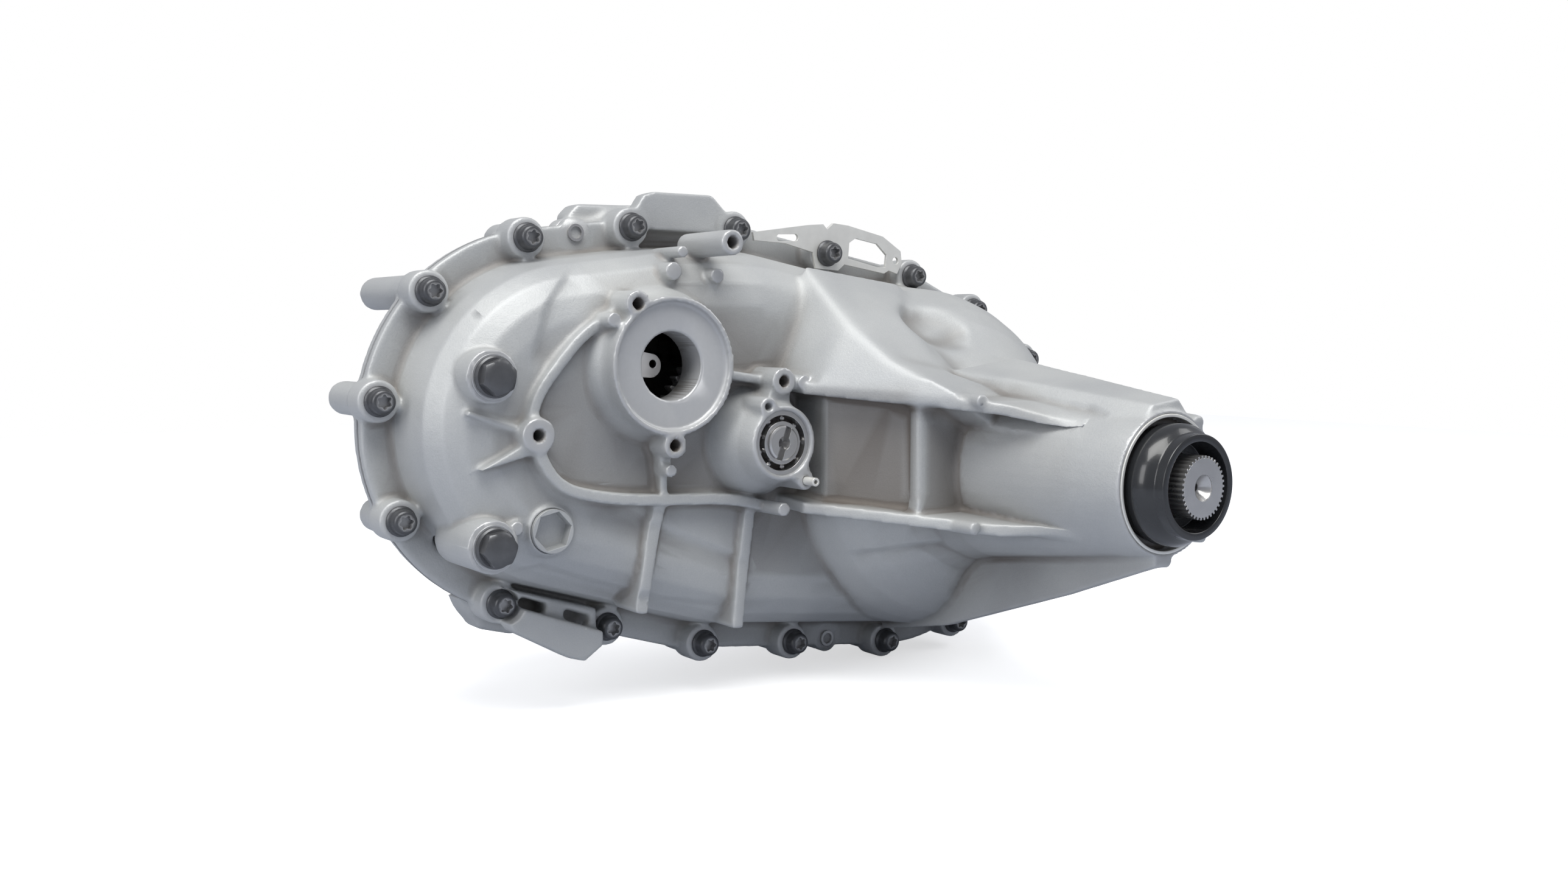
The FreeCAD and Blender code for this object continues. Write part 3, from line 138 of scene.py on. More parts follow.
# %% [markdown]
# ## Shader sums
# Materials here are sums of a few textures. Wrapping a socket in a small class lets Python
# operators add the Math nodes, so that a mask reads like the formula it is.

# %% Shader helper


class Value:
    """A socket that can be used in sums."""

    def __init__(self, tree, socket):
        self.tree = tree
        self.socket = socket

    def sum(self, operation, first, second=0.0, clamp=False):
        node = self.tree.nodes.new("ShaderNodeMath")
        node.operation = operation
        node.use_clamp = clamp
        for slot, value in zip(node.inputs, (first, second)):
            if isinstance(value, Value):
                self.tree.links.new(value.socket, slot)
            else:
                slot.default_value = value
        return Value(self.tree, node.outputs[0])

    def __add__(self, other):
        return self.sum("ADD", self, other)

    def __radd__(self, other):
        return self.sum("ADD", other, self)

    def __sub__(self, other):
        return self.sum("SUBTRACT", self, other)

    def __rsub__(self, other):
        return self.sum("SUBTRACT", other, self)

    def __mul__(self, other):
        return self.sum("MULTIPLY", self, other)

    def __rmul__(self, other):
        return self.sum("MULTIPLY", other, self)

    def clamped(self):
        return self.sum("ADD", self, 0.0, clamp=True)


class Finish:
    """A material and the method that adds its nodes."""

    def __init__(self, name):
        self.material = bpy.data.materials.new(name)
        self.material.use_nodes = True
        self.tree = self.material.node_tree
        self.shader = self.tree.nodes["Principled BSDF"]

    def node(self, kind, settings=None, output=0, **inputs):
        made = self.tree.nodes.new(kind)
        for name, value in (settings or {}).items():
            if name == "stops":
                for stop, (position, colour) in zip(made.color_ramp.elements, value):
                    stop.position = position
                    stop.color = (*colour, 1.0)
            else:
                setattr(made, name, value)
        for name, value in inputs.items():
            self.set(made, name.replace("_", " "), value)
        return Value(self.tree, made.outputs[output])

    def set(self, node, name, value):
        slots = [slot for slot in node.inputs if slot.name == name and slot.enabled]
        if isinstance(value, Value):
            self.tree.links.new(value.socket, slots[0])
        else:
            slots[0].default_value = value

    def mix(self, factor, first, second):
        made = self.tree.nodes.new("ShaderNodeMix")
        made.data_type = "RGBA"
        for slot, value in zip((made.inputs[0], made.inputs[6], made.inputs[7]),
                               (factor, first, second)):
            if isinstance(value, Value):
                self.tree.links.new(value.socket, slot)
            else:
                slot.default_value = value if isinstance(value, float) else (*value, 1.0)
        return Value(self.tree, made.outputs[2])

    def surface(self, **inputs):
        for name, value in inputs.items():
            if isinstance(value, tuple) and len(value) == 3:
                value = (*value, 1.0)
            self.set(self.shader, name.replace("_", " "), value)
        return self.material


# %% [markdown]
# ## Cast aluminium
# A cast wall is matt and slightly sparkling, because the sand or the etched die leaves a fine
# grain. Machined places are brighter and smoother. Both live in one material: an attribute
# painted on the mesh says where a cutter has been, others where painted brownish shade darkens
# hollows and inner corners and where a painted highlight lightens outer edges.

# %% Cast aluminium


def cast_finish(name, light, dark, machined_tone, shade_tone):
    finish = Finish(name)
    place = finish.node("ShaderNodeTexCoord", output=3)
    grain = finish.node("ShaderNodeTexNoise", Vector=place, Scale=1300.0, Detail=2.0)
    pits = finish.node("ShaderNodeTexNoise", Vector=place, Scale=520.0, Detail=2.0)
    cloud = finish.node("ShaderNodeTexNoise", Vector=place, Scale=14.0, Detail=5.0)
    cutter = finish.node("ShaderNodeAttribute", {"attribute_name": "machined"}, output=2)
    corner_shade = finish.node("ShaderNodeAttribute", {"attribute_name": "corner_shade"}, output=2)
    hollow = finish.node("ShaderNodeAttribute", {"attribute_name": "hollow"}, output=2)
    edge = finish.node("ShaderNodeAttribute", {"attribute_name": "edge"}, output=2)
    cast = 1.0 - cutter
    tone = (cloud * 2.2 - 0.6 + (grain - 0.5) * 0.8).clamped()
    colour = finish.mix(tone, dark, light)
    # Painted shade: hollows and inner corners are darkened towards a brownish shade tone.
    colour = finish.mix((hollow * 0.62 + corner_shade * 0.18).clamped(), colour, shade_tone)
    # Painted highlight: outer edges are lightened towards the machined tone.
    colour = finish.mix(edge * 0.45, colour, machined_tone)
    turned_tone = finish.mix(pits, tuple(c * 0.93 for c in machined_tone), machined_tone)
    colour = finish.mix(cutter, colour, turned_tone)
    height = grain * 0.55 + pits * 0.45
    bump = finish.node("ShaderNodeBump", Strength=cast * 0.42, Distance=0.0004, Height=height)
    rough = 0.52 + (cloud - 0.5) * 0.16 - cutter * 0.13 - edge * 0.08 + hollow * 0.12
    return finish.surface(Base_Color=colour, Metallic=0.30, Roughness=rough, Normal=bump)


cast_aluminium = cast_finish("cast_aluminium", (0.475, 0.483, 0.476), (0.37, 0.38, 0.388),
                             (0.45, 0.455, 0.46), (0.14, 0.124, 0.11))
print("cast aluminium ready")

# %% [markdown]
# ## Steel, rubber and paint
# The other finishes are plainer: one base colour, a little wear, and a roughness that says
# whether the part was ground, phosphated, plated or moulded.

# %% Other finishes


def plain_finish(name, colour, metallic, roughness, wear=0.08, grain=0.0, coat=0.0, bare=None):
    finish = Finish(name)
    place = finish.node("ShaderNodeTexCoord", output=3)
    cloud = finish.node("ShaderNodeTexNoise", Vector=place, Scale=160.0, Detail=3.0)
    tint = finish.mix(cloud, tuple(c * (1 - wear) for c in colour),
                      tuple(min(1.0, c * (1 + wear)) for c in colour))
    if bare:
        rubbed = finish.node("ShaderNodeAttribute", {"attribute_name": "rubbed"}, output=2)
        tint = finish.mix((rubbed * (cloud + 0.45)).clamped(), tint, bare)
    rough = roughness + (cloud - 0.5) * 0.15
    fine = finish.node("ShaderNodeTexNoise", Vector=place, Scale=1500.0, Detail=1.0)
    bump = finish.node("ShaderNodeBump", Strength=0.1 + grain, Distance=0.0001, Height=fine)
    return finish.surface(Base_Color=tint, Metallic=metallic, Roughness=rough,
                          Coat_Weight=coat, Normal=bump)


finishes = {
    "cast_aluminium": cast_aluminium,
    "machined_aluminium": plain_finish("machined_aluminium", (0.50, 0.505, 0.51), 0.7, 0.36),
    "bolt_steel": plain_finish("bolt_steel", (0.085, 0.087, 0.092), 0.6, 0.36, 0.3, 0.2, 0.0,
                               (0.36, 0.36, 0.36)),
    "steel": plain_finish("steel", (0.50, 0.495, 0.49), 0.9, 0.30),
    "dark_steel": plain_finish("dark_steel", (0.23, 0.22, 0.21), 0.85, 0.38, 0.2),
    "plated_steel": plain_finish("plated_steel", (0.74, 0.735, 0.70), 0.45, 0.36),
    "shield_black": plain_finish("shield_black", (0.020, 0.021, 0.023), 0.1, 0.24, 0.1, 0, 0.3),
    "plug_steel": plain_finish("plug_steel", (0.105, 0.107, 0.112), 0.6, 0.34, 0.25, 0.2, 0.0,
                               (0.30, 0.30, 0.30)),
    "seal_rubber": plain_finish("seal_rubber", (0.025, 0.025, 0.027), 0.0, 0.55),
    "sealant": plain_finish("sealant", (0.34, 0.345, 0.35), 0.0, 0.5),
    "bronze": plain_finish("bronze", (0.55, 0.36, 0.16), 0.9, 0.35),
    "friction_lining": plain_finish("friction_lining", (0.16, 0.11, 0.07), 0.0, 0.8),
    "breather_plastic": plain_finish("breather_plastic", (0.035, 0.035, 0.037), 0.0, 0.5),
}
slot_of = {part["node"]: part["material_slot"] for part in record["subparts"]}
body_of = {node: body for body, members in record["behaviour"]["bodies"].items()
           for node in members}
slot_of["motor_gear"] = slot_of["gear_guard"] = "steel"    # shown bright, dark in the record
for name, node in nodes.items():
    node.data.materials.clear()
    node.data.materials.append(finishes[slot_of[name]])
print(len(finishes), "finishes")

# %% [markdown]
# ## Pieces
# A finished piece says which exact part it stands for and rides on that part's body.

# %% Piece helpers


def link(name, mesh):
    piece = bpy.data.objects.new(name, mesh)
    bpy.context.scene.collection.objects.link(piece)
    return piece


def stand_for(piece, node):
    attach(piece, body_of[node])
    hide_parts(node)
    return piece


def smooth_sides(mesh, degrees):
    mesh.shade_smooth()
    mesh.set_sharp_from_angle(angle=math.radians(degrees))


def finished(bm, name, finish, degrees=35):
    bmesh.ops.recalc_face_normals(bm, faces=bm.faces)
    mesh = mesh_of(bm, name)
    mesh.materials.append(finishes[finish])
    smooth_sides(mesh, degrees)
    return link(name, mesh)


def settle(piece):
    """Makes what the piece's modifiers do part of its mesh."""
    graph = bpy.context.evaluated_depsgraph_get()
    piece.data = bpy.data.meshes.new_from_object(piece.evaluated_get(graph))
    piece.modifiers.clear()


# %% [markdown]
# ## The castings
# A casting has a round in every inner corner and a softened outer edge. Rounding thousands of
# crossing edges by hand would fail, so the exact solid is turned into an even skin of small
# quads, the skin is relaxed where the surface is as cast, and left alone where it is machined.

# %% Machined places

bolts_face = face_y - 0.018      # where the bolts' heads sit
rim = 0.0006                     # how far a skin point may lie from a flat and still be on it
seat_bore = 0.0362
nose_rim = 0.0402


# (x, z, radius, y from the joint plane) in millimetres
tapped_bosses = [(-225.5, 96.3, 7.8, -78), (-280.0, 27.0, 10.0, -68), (-203.0, 18.8, 7.5, -78),
                 (-166.0, 131.0, 7.7, -80), (-134.5, 52.9, 8.2, -85)]
pads_and_ears = [(-238.5, 87.6, 4.4, -75), (-120.0, 51.8, 4.8, -85), (-203.3, 4.5, 3.8, -74),
                 (-134.5, -21.0, 4.3, -85), (-187.0, 126.0, 3.7, -61), (-193.0, 115.0, 5.5, -61),
                 (-164.0, 113.0, 4.7, -61), (-290.0, -22.0, 4.2, -61), (-148.5, 39.0, 5.9, -90),
                 (-122.5, -4.5, 5.9, -90)]
plug_faces = [(-305.0, 58.3, 14.6, -66), (-306.0, -30.0, 14.6, -66)]


def discs():
    """Machined flats of the rear half: (x, z, radius, y)."""
    found = [(*seat_axis, 0.0392, seat_end), (*seat_axis, seat_bore, seat_end + 0.0035),
             (*actuator_axis, 0.0218, port_end), (*main_axis, nose_rim, nose_end)]
    found += [(x, z, 0.0090, bolts_face) for x, z, y in bolt_places]
    found += [(x * MM, z * MM, radius * MM, face_y + y * MM)
              for x, z, radius, y in tapped_bosses + pads_and_ears + plug_faces]
    return found


def bores():
    """Machined bores of the rear half: (x, z, radius, y from, y to)."""
    found = [(*seat_axis, seat_bore, seat_end, seat_end + 0.03),
             (*actuator_axis, 0.0189, port_end, port_end + 0.015),
             (*main_axis, 0.0378, nose_end, nose_end + 0.04)]
    found += [(x * MM, z * MM, 0.0042, face_y - 0.092, face_y - 0.05)
              for x, z, radius, y in tapped_bosses]
    return found


def machined_mask(points, flats, holes):
    """True where a cutter has been: both joint faces, the flats and the bores."""
    mask = np.zeros(len(points), dtype=bool)
    mask |= np.abs(points[:, 1] - face_y) < rim
    mask |= points[:, 1] > -rim
    for x, z, radius, y in flats:
        apart = np.hypot(points[:, 0] - x, points[:, 2] - z)
        mask |= (apart < radius) & (np.abs(points[:, 1] - y) < rim)
    for x, z, radius, low, high in holes:
        apart = np.hypot(points[:, 0] - x, points[:, 2] - z)
        mask |= (apart < radius) & (points[:, 1] > low - rim) & (points[:, 1] < high)
    return mask


print(len(discs()), "machined flats and", len(bores()), "bores")

# %% [markdown]
# ## A skin that can be worked
# Smoothing by hand, point by point, takes too long on a skin of this size. As arrays, all its
# points move at once: each goes towards the mean of its neighbours, as far as its weight says.

# %% Skin of a casting


class Skin:
    """Points and edges of a mesh as arrays, so that thousands move at once."""

    def __init__(self, mesh):
        self.mesh = mesh
        self.points = np.empty(len(mesh.vertices) * 3)
        mesh.vertices.foreach_get("co", self.points)
        self.points = self.points.reshape(-1, 3)
        edges = np.empty(len(mesh.edges) * 2, dtype=np.int64)
        mesh.edges.foreach_get("vertices", edges)
        edges = edges.reshape(-1, 2)
        self.here = np.concatenate((edges[:, 0], edges[:, 1]))
        self.there = np.concatenate((edges[:, 1], edges[:, 0]))
        self.count = np.maximum(np.bincount(self.here, minlength=len(self.points)), 1)

    def average(self, values):
        """Mean of each point's neighbours."""
        columns = values.reshape(len(self.points), -1)
        sums = [np.bincount(self.here, weights=column[self.there], minlength=len(self.points))
                for column in columns.T]
        return (np.stack(sums, axis=1) / self.count[:, None]).reshape(values.shape)

    def normals(self):
        """Writes the points back to the mesh and reads its normals."""
        self.mesh.vertices.foreach_set("co", self.points.ravel())
        self.mesh.update()
        found = np.empty(len(self.points) * 3)
        self.mesh.vertices.foreach_get("normal", found)
        return found.reshape(-1, 3)

    def relax(self, weight, passes):
        for step in range(passes):
            self.points += (self.average(self.points) - self.points) * weight[:, None]

    def bend(self, passes):
        """How far each point lies below its wider surroundings, in metres."""
        normals = self.normals()
        wide = self.points
        for step in range(passes):
            wide = self.average(wide)
        return np.einsum("ij,ij->i", wide - self.points, normals)


def soft(values):
    """Smooth step from 0 to 1."""
    values = np.clip(values, 0, 1)
    return values * values * (3 - 2 * values)


print("skins are relaxed as arrays")

# %% [markdown]
# ## Sunken strips and hollows
# The dome of a real casting isn't one even round. The patternmaker sinks strips beside ribs and
# presses hollows where something needs room. Each is a smooth fall added to the skin, which
# leaves no edge, where a cut by another solid would.

# %% Strips and hollows


def step_beside(points, path, depth, width):
    """Sunken strip along the right-hand side of a path of (x, z) corners in millimetres."""
    best = np.full(len(points), 1e9)
    sink = np.zeros(len(points))
    lengths = [math.dist(a, b) for a, b in zip(path, path[1:])]
    total = sum(lengths)
    gone = 0.0
    for (ax, az), (bx, bz), length in zip(path, path[1:], lengths):
        dx, dz = (bx - ax) / length, (bz - az) / length
        px, pz = points[:, 0] / MM - ax, points[:, 2] / MM - az
        along = px * dx + pz * dz
        side = px * dz - pz * dx
        apart = np.hypot(np.clip(along, 0, length) - along, side)
        share = (gone + np.clip(along, 0, length)) / total
        ends = soft(share * 5) * soft((1 - share) * 5)
        fall = soft(1 - side / width) * soft((side + 0.9) / 1.8)
        value = np.where(apart < width * 1.2, fall * ends, 0) * depth * MM
        nearer = apart < best
        sink = np.where(nearer, value, sink)
        best = np.minimum(best, apart)
        gone += length
    return sink


def in_box(points, low, high, blur=6.0):
    """Weight that is 1 inside a box given in millimetres and fades at its sides."""
    weight = np.ones(len(points))
    for axis, shift in enumerate((0, face_y, 0)):
        place = (points[:, axis] - shift) / MM
        weight *= soft((place - low[axis]) / blur + 1) * soft((high[axis] - place) / blur + 1)
    return weight


def dish(skin, centre, radii, depth, tilt=0.0):
    """Presses an oval hollow into the surface near a place, in millimetres."""
    turn = math.radians(tilt)
    x = skin.points[:, 0] / MM - centre[0]
    y = (skin.points[:, 1] - face_y) / MM - centre[1]
    z = skin.points[:, 2] / MM - centre[2]
    across = x * math.cos(turn) + z * math.sin(turn)
    down = z * math.cos(turn) - x * math.sin(turn)
    reach = np.sqrt((across / radii[0]) ** 2 + (down / radii[1]) ** 2)
    weight = soft((1.15 - reach) / 0.45) * soft((radii[2] - np.abs(y)) / 4)
    normals = skin.normals()
    weight *= soft((-normals[:, 1] + 0.2) / 0.4)
    skin.points -= normals * (weight * depth * MM)[:, None]


print("strips and hollows ready")

# %% [markdown]
# ## Forms of the rear half
# Three forms are easier on the skin than in the exact part: the seats of the dowels lie level
# with the flange, the long ribs fade into the nose, and a pocket lies beside the shoulder.

# %% Forms of the rear half

flange_back = face_y - 0.0073


def sink_dowel_bosses(skin):
    """The seats of the dowels don't stand proud of the flange."""
    for x, z in dowel_places:
        apart = np.hypot(skin.points[:, 0] / MM - x, skin.points[:, 2] / MM - z)
        level = flange_back
        near = (apart < 10.2) & (skin.points[:, 1] < level) & (skin.points[:, 1] > face_y - 0.016)
        skin.points[near, 1] = level


def run_out_ribs(skin):
    """Lets the two long ribs sink into the nose instead of ending square."""
    y = (skin.points[:, 1] - face_y) / MM
    for middle, slope in ((48.5, 0.099), (-21.0, 0.078)):
        beside = np.abs(skin.points[:, 2] / MM - middle - slope * (y + 85.0)) < 5.5
        near = beside & (skin.points[:, 0] < -0.022) & (y < -177) & (y > -226)
        reach = np.hypot(skin.points[near, 0], skin.points[near, 2]) / MM
        cone = 55.0 - 15.5 * (-y[near] - 130.0) / 120.0
        keep = soft((y[near] + 222.0) / 45.0)
        scale = (cone + np.maximum(reach - cone, 0) * keep) / np.maximum(reach, 1)
        scale = np.where(reach > cone, scale, 1.0)
        skin.points[near, 0] *= scale
        skin.points[near, 2] *= scale


def shape_rear(skin, cast):
    """Forms of the rear half that are freer than the exact part's."""
    sink_dowel_bosses(skin)
    run_out_ribs(skin)
    dish(skin, (-27, -96, 86), (26, 11, 24), 6.0, -8)
    dish(skin, (-18, -100, 74), (15, 2.6, 22), 3.5, -4)
    skin.relax(cast * in_box(skin.points, (-126, -170, 60), (6, -54, 132)) * 0.6, 60)
    skin.relax(cast * in_box(skin.points, (-104, -152, -12), (-58, -122, 38), 4) * 0.6, 26)


def painted_recess_shade(points):
    """Painted brownish shade on the rear half: between the long ribs and beside the keel."""
    left = in_box(points, (-126, -134, -16), (-70, -90, 44), 9)
    right = in_box(points, (-66, -212, -22), (-44, -146, 40), 12)
    under = in_box(points, (-8, -240, -110), (2, -130, -48), 14)
    return left * 0.55 + right * 0.22 + under * 0.25


print("forms of the rear half ready")

# %% [markdown]
# ## From solid to casting
# The solid is skinned, its freer forms are pressed in, its inner corners are filled as a
# mould's are, and what is left over of the fine mesh is thinned. Then the skin is painted:
# machined places, painted shade in inner corners and hollows, and a painted highlight on outer
# edges, each as one attribute.

# %% Castings

lit_depth = 0.005                # how far down a bore its wall stays bright


def casting(name, voxel, triangles, flats, holes, creases=(), shape=None):
    """Cast look over an exact part. Flats and holes stay as machined, creases are sunken strips."""
    piece = link(name + "_cast", mesh_of(merged(name), name + "_skin"))
    remesh = piece.modifiers.new("skin", "REMESH")
    remesh.mode = "VOXEL"
    remesh.voxel_size = voxel
    settle(piece)
    skin = Skin(piece.data)
    outer = skin.normals()[:, 1] < -0.3
    cast = 1.0 - machined_mask(skin.points, flats, holes)
    for path, depth, width, low, high in creases:
        deep = (skin.points[:, 1] > face_y + low * MM) & (skin.points[:, 1] < face_y + high * MM)
        skin.points[:, 1] += step_beside(skin.points, path, depth, width) * (deep & outer) * cast
    if shape:
        shape(skin, cast)
    skin.relax(cast * 0.5, 4)
    inside_corner = soft(skin.bend(2) / (voxel * 0.22))
    skin.relax(cast * inside_corner * 0.6, 14)
    skin.relax(cast * 0.35, 2)
    skin.normals()
    full = len(piece.data.polygons) * 2
    if full > triangles:
        thin = piece.modifiers.new("thin", "DECIMATE")
        thin.ratio = triangles / full
    settle(piece)
    skin = Skin(piece.data)
    near, far = skin.bend(5), skin.bend(60)
    # Painted shade for inner corners and hollows, and a painted highlight for outer edges.
    paint = {"machined": machined_mask(skin.points, flats, holes).astype(float),
             "corner_shade": np.clip(near / 0.0005, 0, 1), "edge": np.clip(-near / 0.0006 - 0.3, 0, 1),
             "hollow": np.clip(far / 0.0042 - 0.10, 0, 1)}
    # Painted shade is added between the long ribs, beside the nose and under the keel.
    if shape:
        paint["hollow"] += painted_recess_shade(skin.points)
    # Deeper than lit_depth, a bore's wall is painted in full shade instead of bright machined metal.
    for x, z, radius, low, high in holes:
        apart = np.hypot(skin.points[:, 0] - x, skin.points[:, 2] - z)
        deep = (apart < radius) & (skin.points[:, 1] > low + lit_depth)
        paint["hollow"][deep] = 1.5
        paint["machined"][deep] = 0.0
    for label, values in paint.items():
        layer = piece.data.attributes.new(label, "FLOAT", "POINT")
        layer.data.foreach_set("value", values)
    piece.data.materials.clear()
    piece.data.materials.append(cast_aluminium)
    piece.data.shade_smooth()
    print(name, "skin of", full, "triangles thinned to", len(piece.data.polygons))
    return stand_for(piece, name)


rear_triangles, front_triangles = 198000, 130000
# sunken strips of the rear face: (path, depth, width, y from, y to), all in millimetres
rear_creases = [
    ([(-281, 60), (-277.9, 70.2), (-268.7, 95.8), (-252.4, 112.8), (-243, 119)], 2.2, 22, -64, -30),
    ([(-252, -3), (-239.1, -8.3), (-200.6, -28.2), (-147.1, -51.6), (-135, -56)], 1.8, 26, -64, -30),
    ([(-296, -47), (-282.2, -46.3), (-271.5, -44.1), (-249.7, -52.9), (-196, -70.7), (-150, -80)],
     2.6, 18, -64, -22),
    ([(-86, -52.5), (-80.9, -51.4), (-30.8, -43.0), (-24, -41)], 3.0, 14, -122, -60)]
cast_voxel = 0.0011
casting("rear_case", cast_voxel, rear_triangles, discs(), bores(), rear_creases, shape_rear)
casting("front_case", cast_voxel * 1.5, front_triangles, [], [])

# %% [markdown]
# ## Turned pieces
# A turned piece is a half section spun once round its axis. The spin closes on itself, points
# on the axis are merged, and the sharp corners get a small bevel as a lathe operator would.

# %% Spin helper


def turned(section, centre, steps, edge=0.0, segments=2):
    """Mesh of revolution from (radius, y) corners about a line along Y."""
    bm = bmesh.new()
    corners = [bm.verts.new((centre[0] + radius, y, centre[1])) for radius, y in section]
    closed = min(radius for radius, y in section) > 1e-7
    pairs = list(zip(corners, corners[1:] + (corners[:1] if closed else [])))
    sides = [bm.edges.new(pair) for pair in pairs]
    bmesh.ops.spin(bm, geom=corners + sides, cent=(centre[0], 0, centre[1]), axis=(0, 1, 0),
                   dvec=(0, 0, 0), angle=2 * math.pi, steps=steps, use_merge=True,
                   use_duplicate=False)
    bmesh.ops.remove_doubles(bm, verts=bm.verts, dist=1e-7)
    bmesh.ops.recalc_face_normals(bm, faces=bm.faces)
    if edge:
        round_edges(bm, edge, segments)
    return bm


def round_edges(bm, width, segments=2, degrees=35):
    sharp = [side for side in bm.edges
             if len(side.link_faces) == 2 and side.calc_face_angle(0) > math.radians(degrees)]
    bmesh.ops.bevel(bm, geom=sharp, offset=width, segments=segments, profile=0.5,
                    affect="EDGES", material=-1, clamp_overlap=True)


def add(bm, other):
    """Moves the geometry of another bmesh into this one."""
    mesh = mesh_of(other, "part")
    bm.from_mesh(mesh)
    bpy.data.meshes.remove(mesh)


# %% [markdown]
# ## Flange bolts
# Eighteen black flange-head bolts hold the halves. Each has a cone of a flange, a drum of a
# head with a rounded rim, and a six-lobed socket. One head is modelled and copied round.

# %% Flange bolts


def socket_star(radius, depth, y, lobes=6):
    """Six-lobed recess as a prism to be cut out."""
    bm = bmesh.new()
    count = lobes * 8
    ring = []
    for i in range(count):
        angle = 360.0 * i / count
        reach = radius * (0.86 + 0.14 * math.cos(math.radians(angle * lobes)))
        x, z = polar((0, 0), reach, angle)
        ring.append(bm.verts.new((x, y, z)))
    face = bm.faces.new(ring)
    pulled = bmesh.ops.extrude_face_region(bm, geom=[face])
    moved = [item for item in pulled["geom"] if isinstance(item, bmesh.types.BMVert)]
    bmesh.ops.translate(bm, verts=moved, vec=(0, depth, 0))
    bmesh.ops.recalc_face_normals(bm, faces=bm.faces)
    return bm


def cut(piece, tool):
    """Takes the tool's form out of the piece for good."""
    hollow = piece.modifiers.new("cut", "BOOLEAN")
    hollow.operation = "DIFFERENCE"
    hollow.solver = "EXACT"
    hollow.object = tool
    settle(piece)
    bpy.data.objects.remove(tool)


def rub(mesh, where):
    """Paints the places where a tool has rubbed the black finish off."""
    layer = mesh.attributes.new("rubbed", "FLOAT", "POINT")
    for point, vertex in zip(layer.data, mesh.vertices):
        point.value = 1.0 if where(*vertex.co) else 0.0


head_height = 0.0087
star_radius, star_depth = 0.0041, 0.0050


def bolt_head():
    """One bolt with its seat at y = 0 and its head towards -Y."""
    top = -head_height
    section = [(0, 0.018), (0.004, 0.018), (0.004, 0.0), (0.0083, 0.0), (0.0083, -0.0013),
               (0.0080, -0.0018), (0.0072, -0.0023), (0.0069, -0.0032), (0.00675, top + 0.0028),
               (0.0066, top + 0.0017), (0.0062, top + 0.0008), (0.0056, top + 0.0002),
               (0.0049, top), (0, top)]
    bm = turned(section, (0, 0), 32)
    round_edges(bm, 0.0003, 1, 40)
    head = finished(bm, "bolt_head", "bolt_steel", 30)
    cut(head, finished(socket_star(star_radius, star_depth, top - 0.001), "star", "bolt_steel"))
    rub(head.data, lambda x, y, z: math.hypot(x, z) < 0.0045 and -0.006 < y - top < 0.006)
    return head


pattern = bolt_head()
heads = bmesh.new()
for number, (x, z, head_y) in enumerate(bolt_places):
    single = bmesh.new()
    single.from_mesh(pattern.data)
    spin = Matrix.Rotation(math.radians(37 * number), 4, "Y")
    bmesh.ops.transform(single, matrix=spin, verts=single.verts)
    bmesh.ops.translate(single, vec=(x, head_y + head_height, z), verts=single.verts)
    add(heads, single)
bpy.data.objects.remove(pattern)
flange_screws = stand_for(finished(heads, "flange_screws", "bolt_steel", 30), "flange_bolts")
print("bolts", len(flange_screws.data.polygons), "faces")

# %% [markdown]
# ## Oil plugs
# The plugs have a low hexagon with a domed top. The dome is turned and the hexagon is cut
# from it, as on the real part, which gives the curved line where the two meet.

# %% Oil plugs


plug_flat = 0.0085               # from the plug's axis to a side of its hexagon
hexagon_depth = 0.0068
block_size = 0.020


def oil_plug(name, centre, turn):
    """Plug at (x, z), its hexagon turned by an angle in degrees."""
    seat = face_y - 0.0675
    top = seat - 0.0095
    crown = turned([(0, seat + 0.016), (0.009, seat + 0.016), (0.009, seat), (0.011, seat),
                    (0.011, seat - 0.0020), (0.0101, seat - 0.0027), (0.0101, top + 0.0030),
                    (0.0096, top + 0.0018), (0.0086, top + 0.0009), (0.0070, top + 0.0003),
                    (0.0050, top), (0, top)], centre, 48)
    body = finished(crown, name + "_made", "plug_steel", 40)
    for side in range(6):
        angle = turn + 30 + 60 * side
        x, z = polar(centre, plug_flat + block_size / 2, angle)
        y = top + hexagon_depth - block_size / 2
        block = bmesh.new()
        bmesh.ops.create_cube(block, size=block_size)
        spin = Matrix.Rotation(-math.radians(angle), 4, "Y")
        bmesh.ops.transform(block, matrix=Matrix.Translation((x, y, z)) @ spin,
                            verts=block.verts)
        cut(body, finished(block, "side", "plug_steel"))
    smooth_sides(body.data, 30)
    return stand_for(body, name)


oil_plug("fill_plug", (-0.305, 0.0583), 20)
oil_plug("drain_plug", (-0.306, -0.030), 8)
print("fill and drain plugs made")

# %% [markdown]
# ## Dust shield and nose ring
# The shield is a thin pressed cup, glossy black, open to the rear. Its bends are rounds, so the
# section follows the sheet and the sharp corners get a generous bevel.

# %% Shield and ring

shield_front = face_y - 0.270
web = shield_front + 0.015
back = nose_end + 0.001
shield = turned([(0.0170, web), (0.0170, web + 0.004), (0.0314, web + 0.004), (0.0314, back),
                 (0.0330, back), (0.0330, shield_front + 0.012),
                 (0.03045, shield_front + 0.008), (0.02825, shield_front + 0.006),
                 (0.02825, shield_front), (0.0240, shield_front), (0.0240, web)],
                main_axis, 128, 0.0007, 3)
stand_for(finished(shield, "shield", "shield_black", 50), "dust_shield")
ring = turned([(0.03775, nose_end + 0.003), (0.0360, nose_end + 0.003),
               (0.0360, nose_end - 0.0005), (0.03775, nose_end - 0.0005)],
              main_axis, 128, 0.0003, 2)
stand_for(finished(ring, "rim_ring", "plated_steel", 50), "nose_ring")
print("shield and rim ring made")

# %% [markdown]
# ## Other parts
# The other pieces keep their exact form. Those that can be seen get a narrow bevel on every
# sharp edge, because a real edge always catches a thin line of light. What stays hidden inside
# the case is shown as the exact part.

# %% Bevelled copies


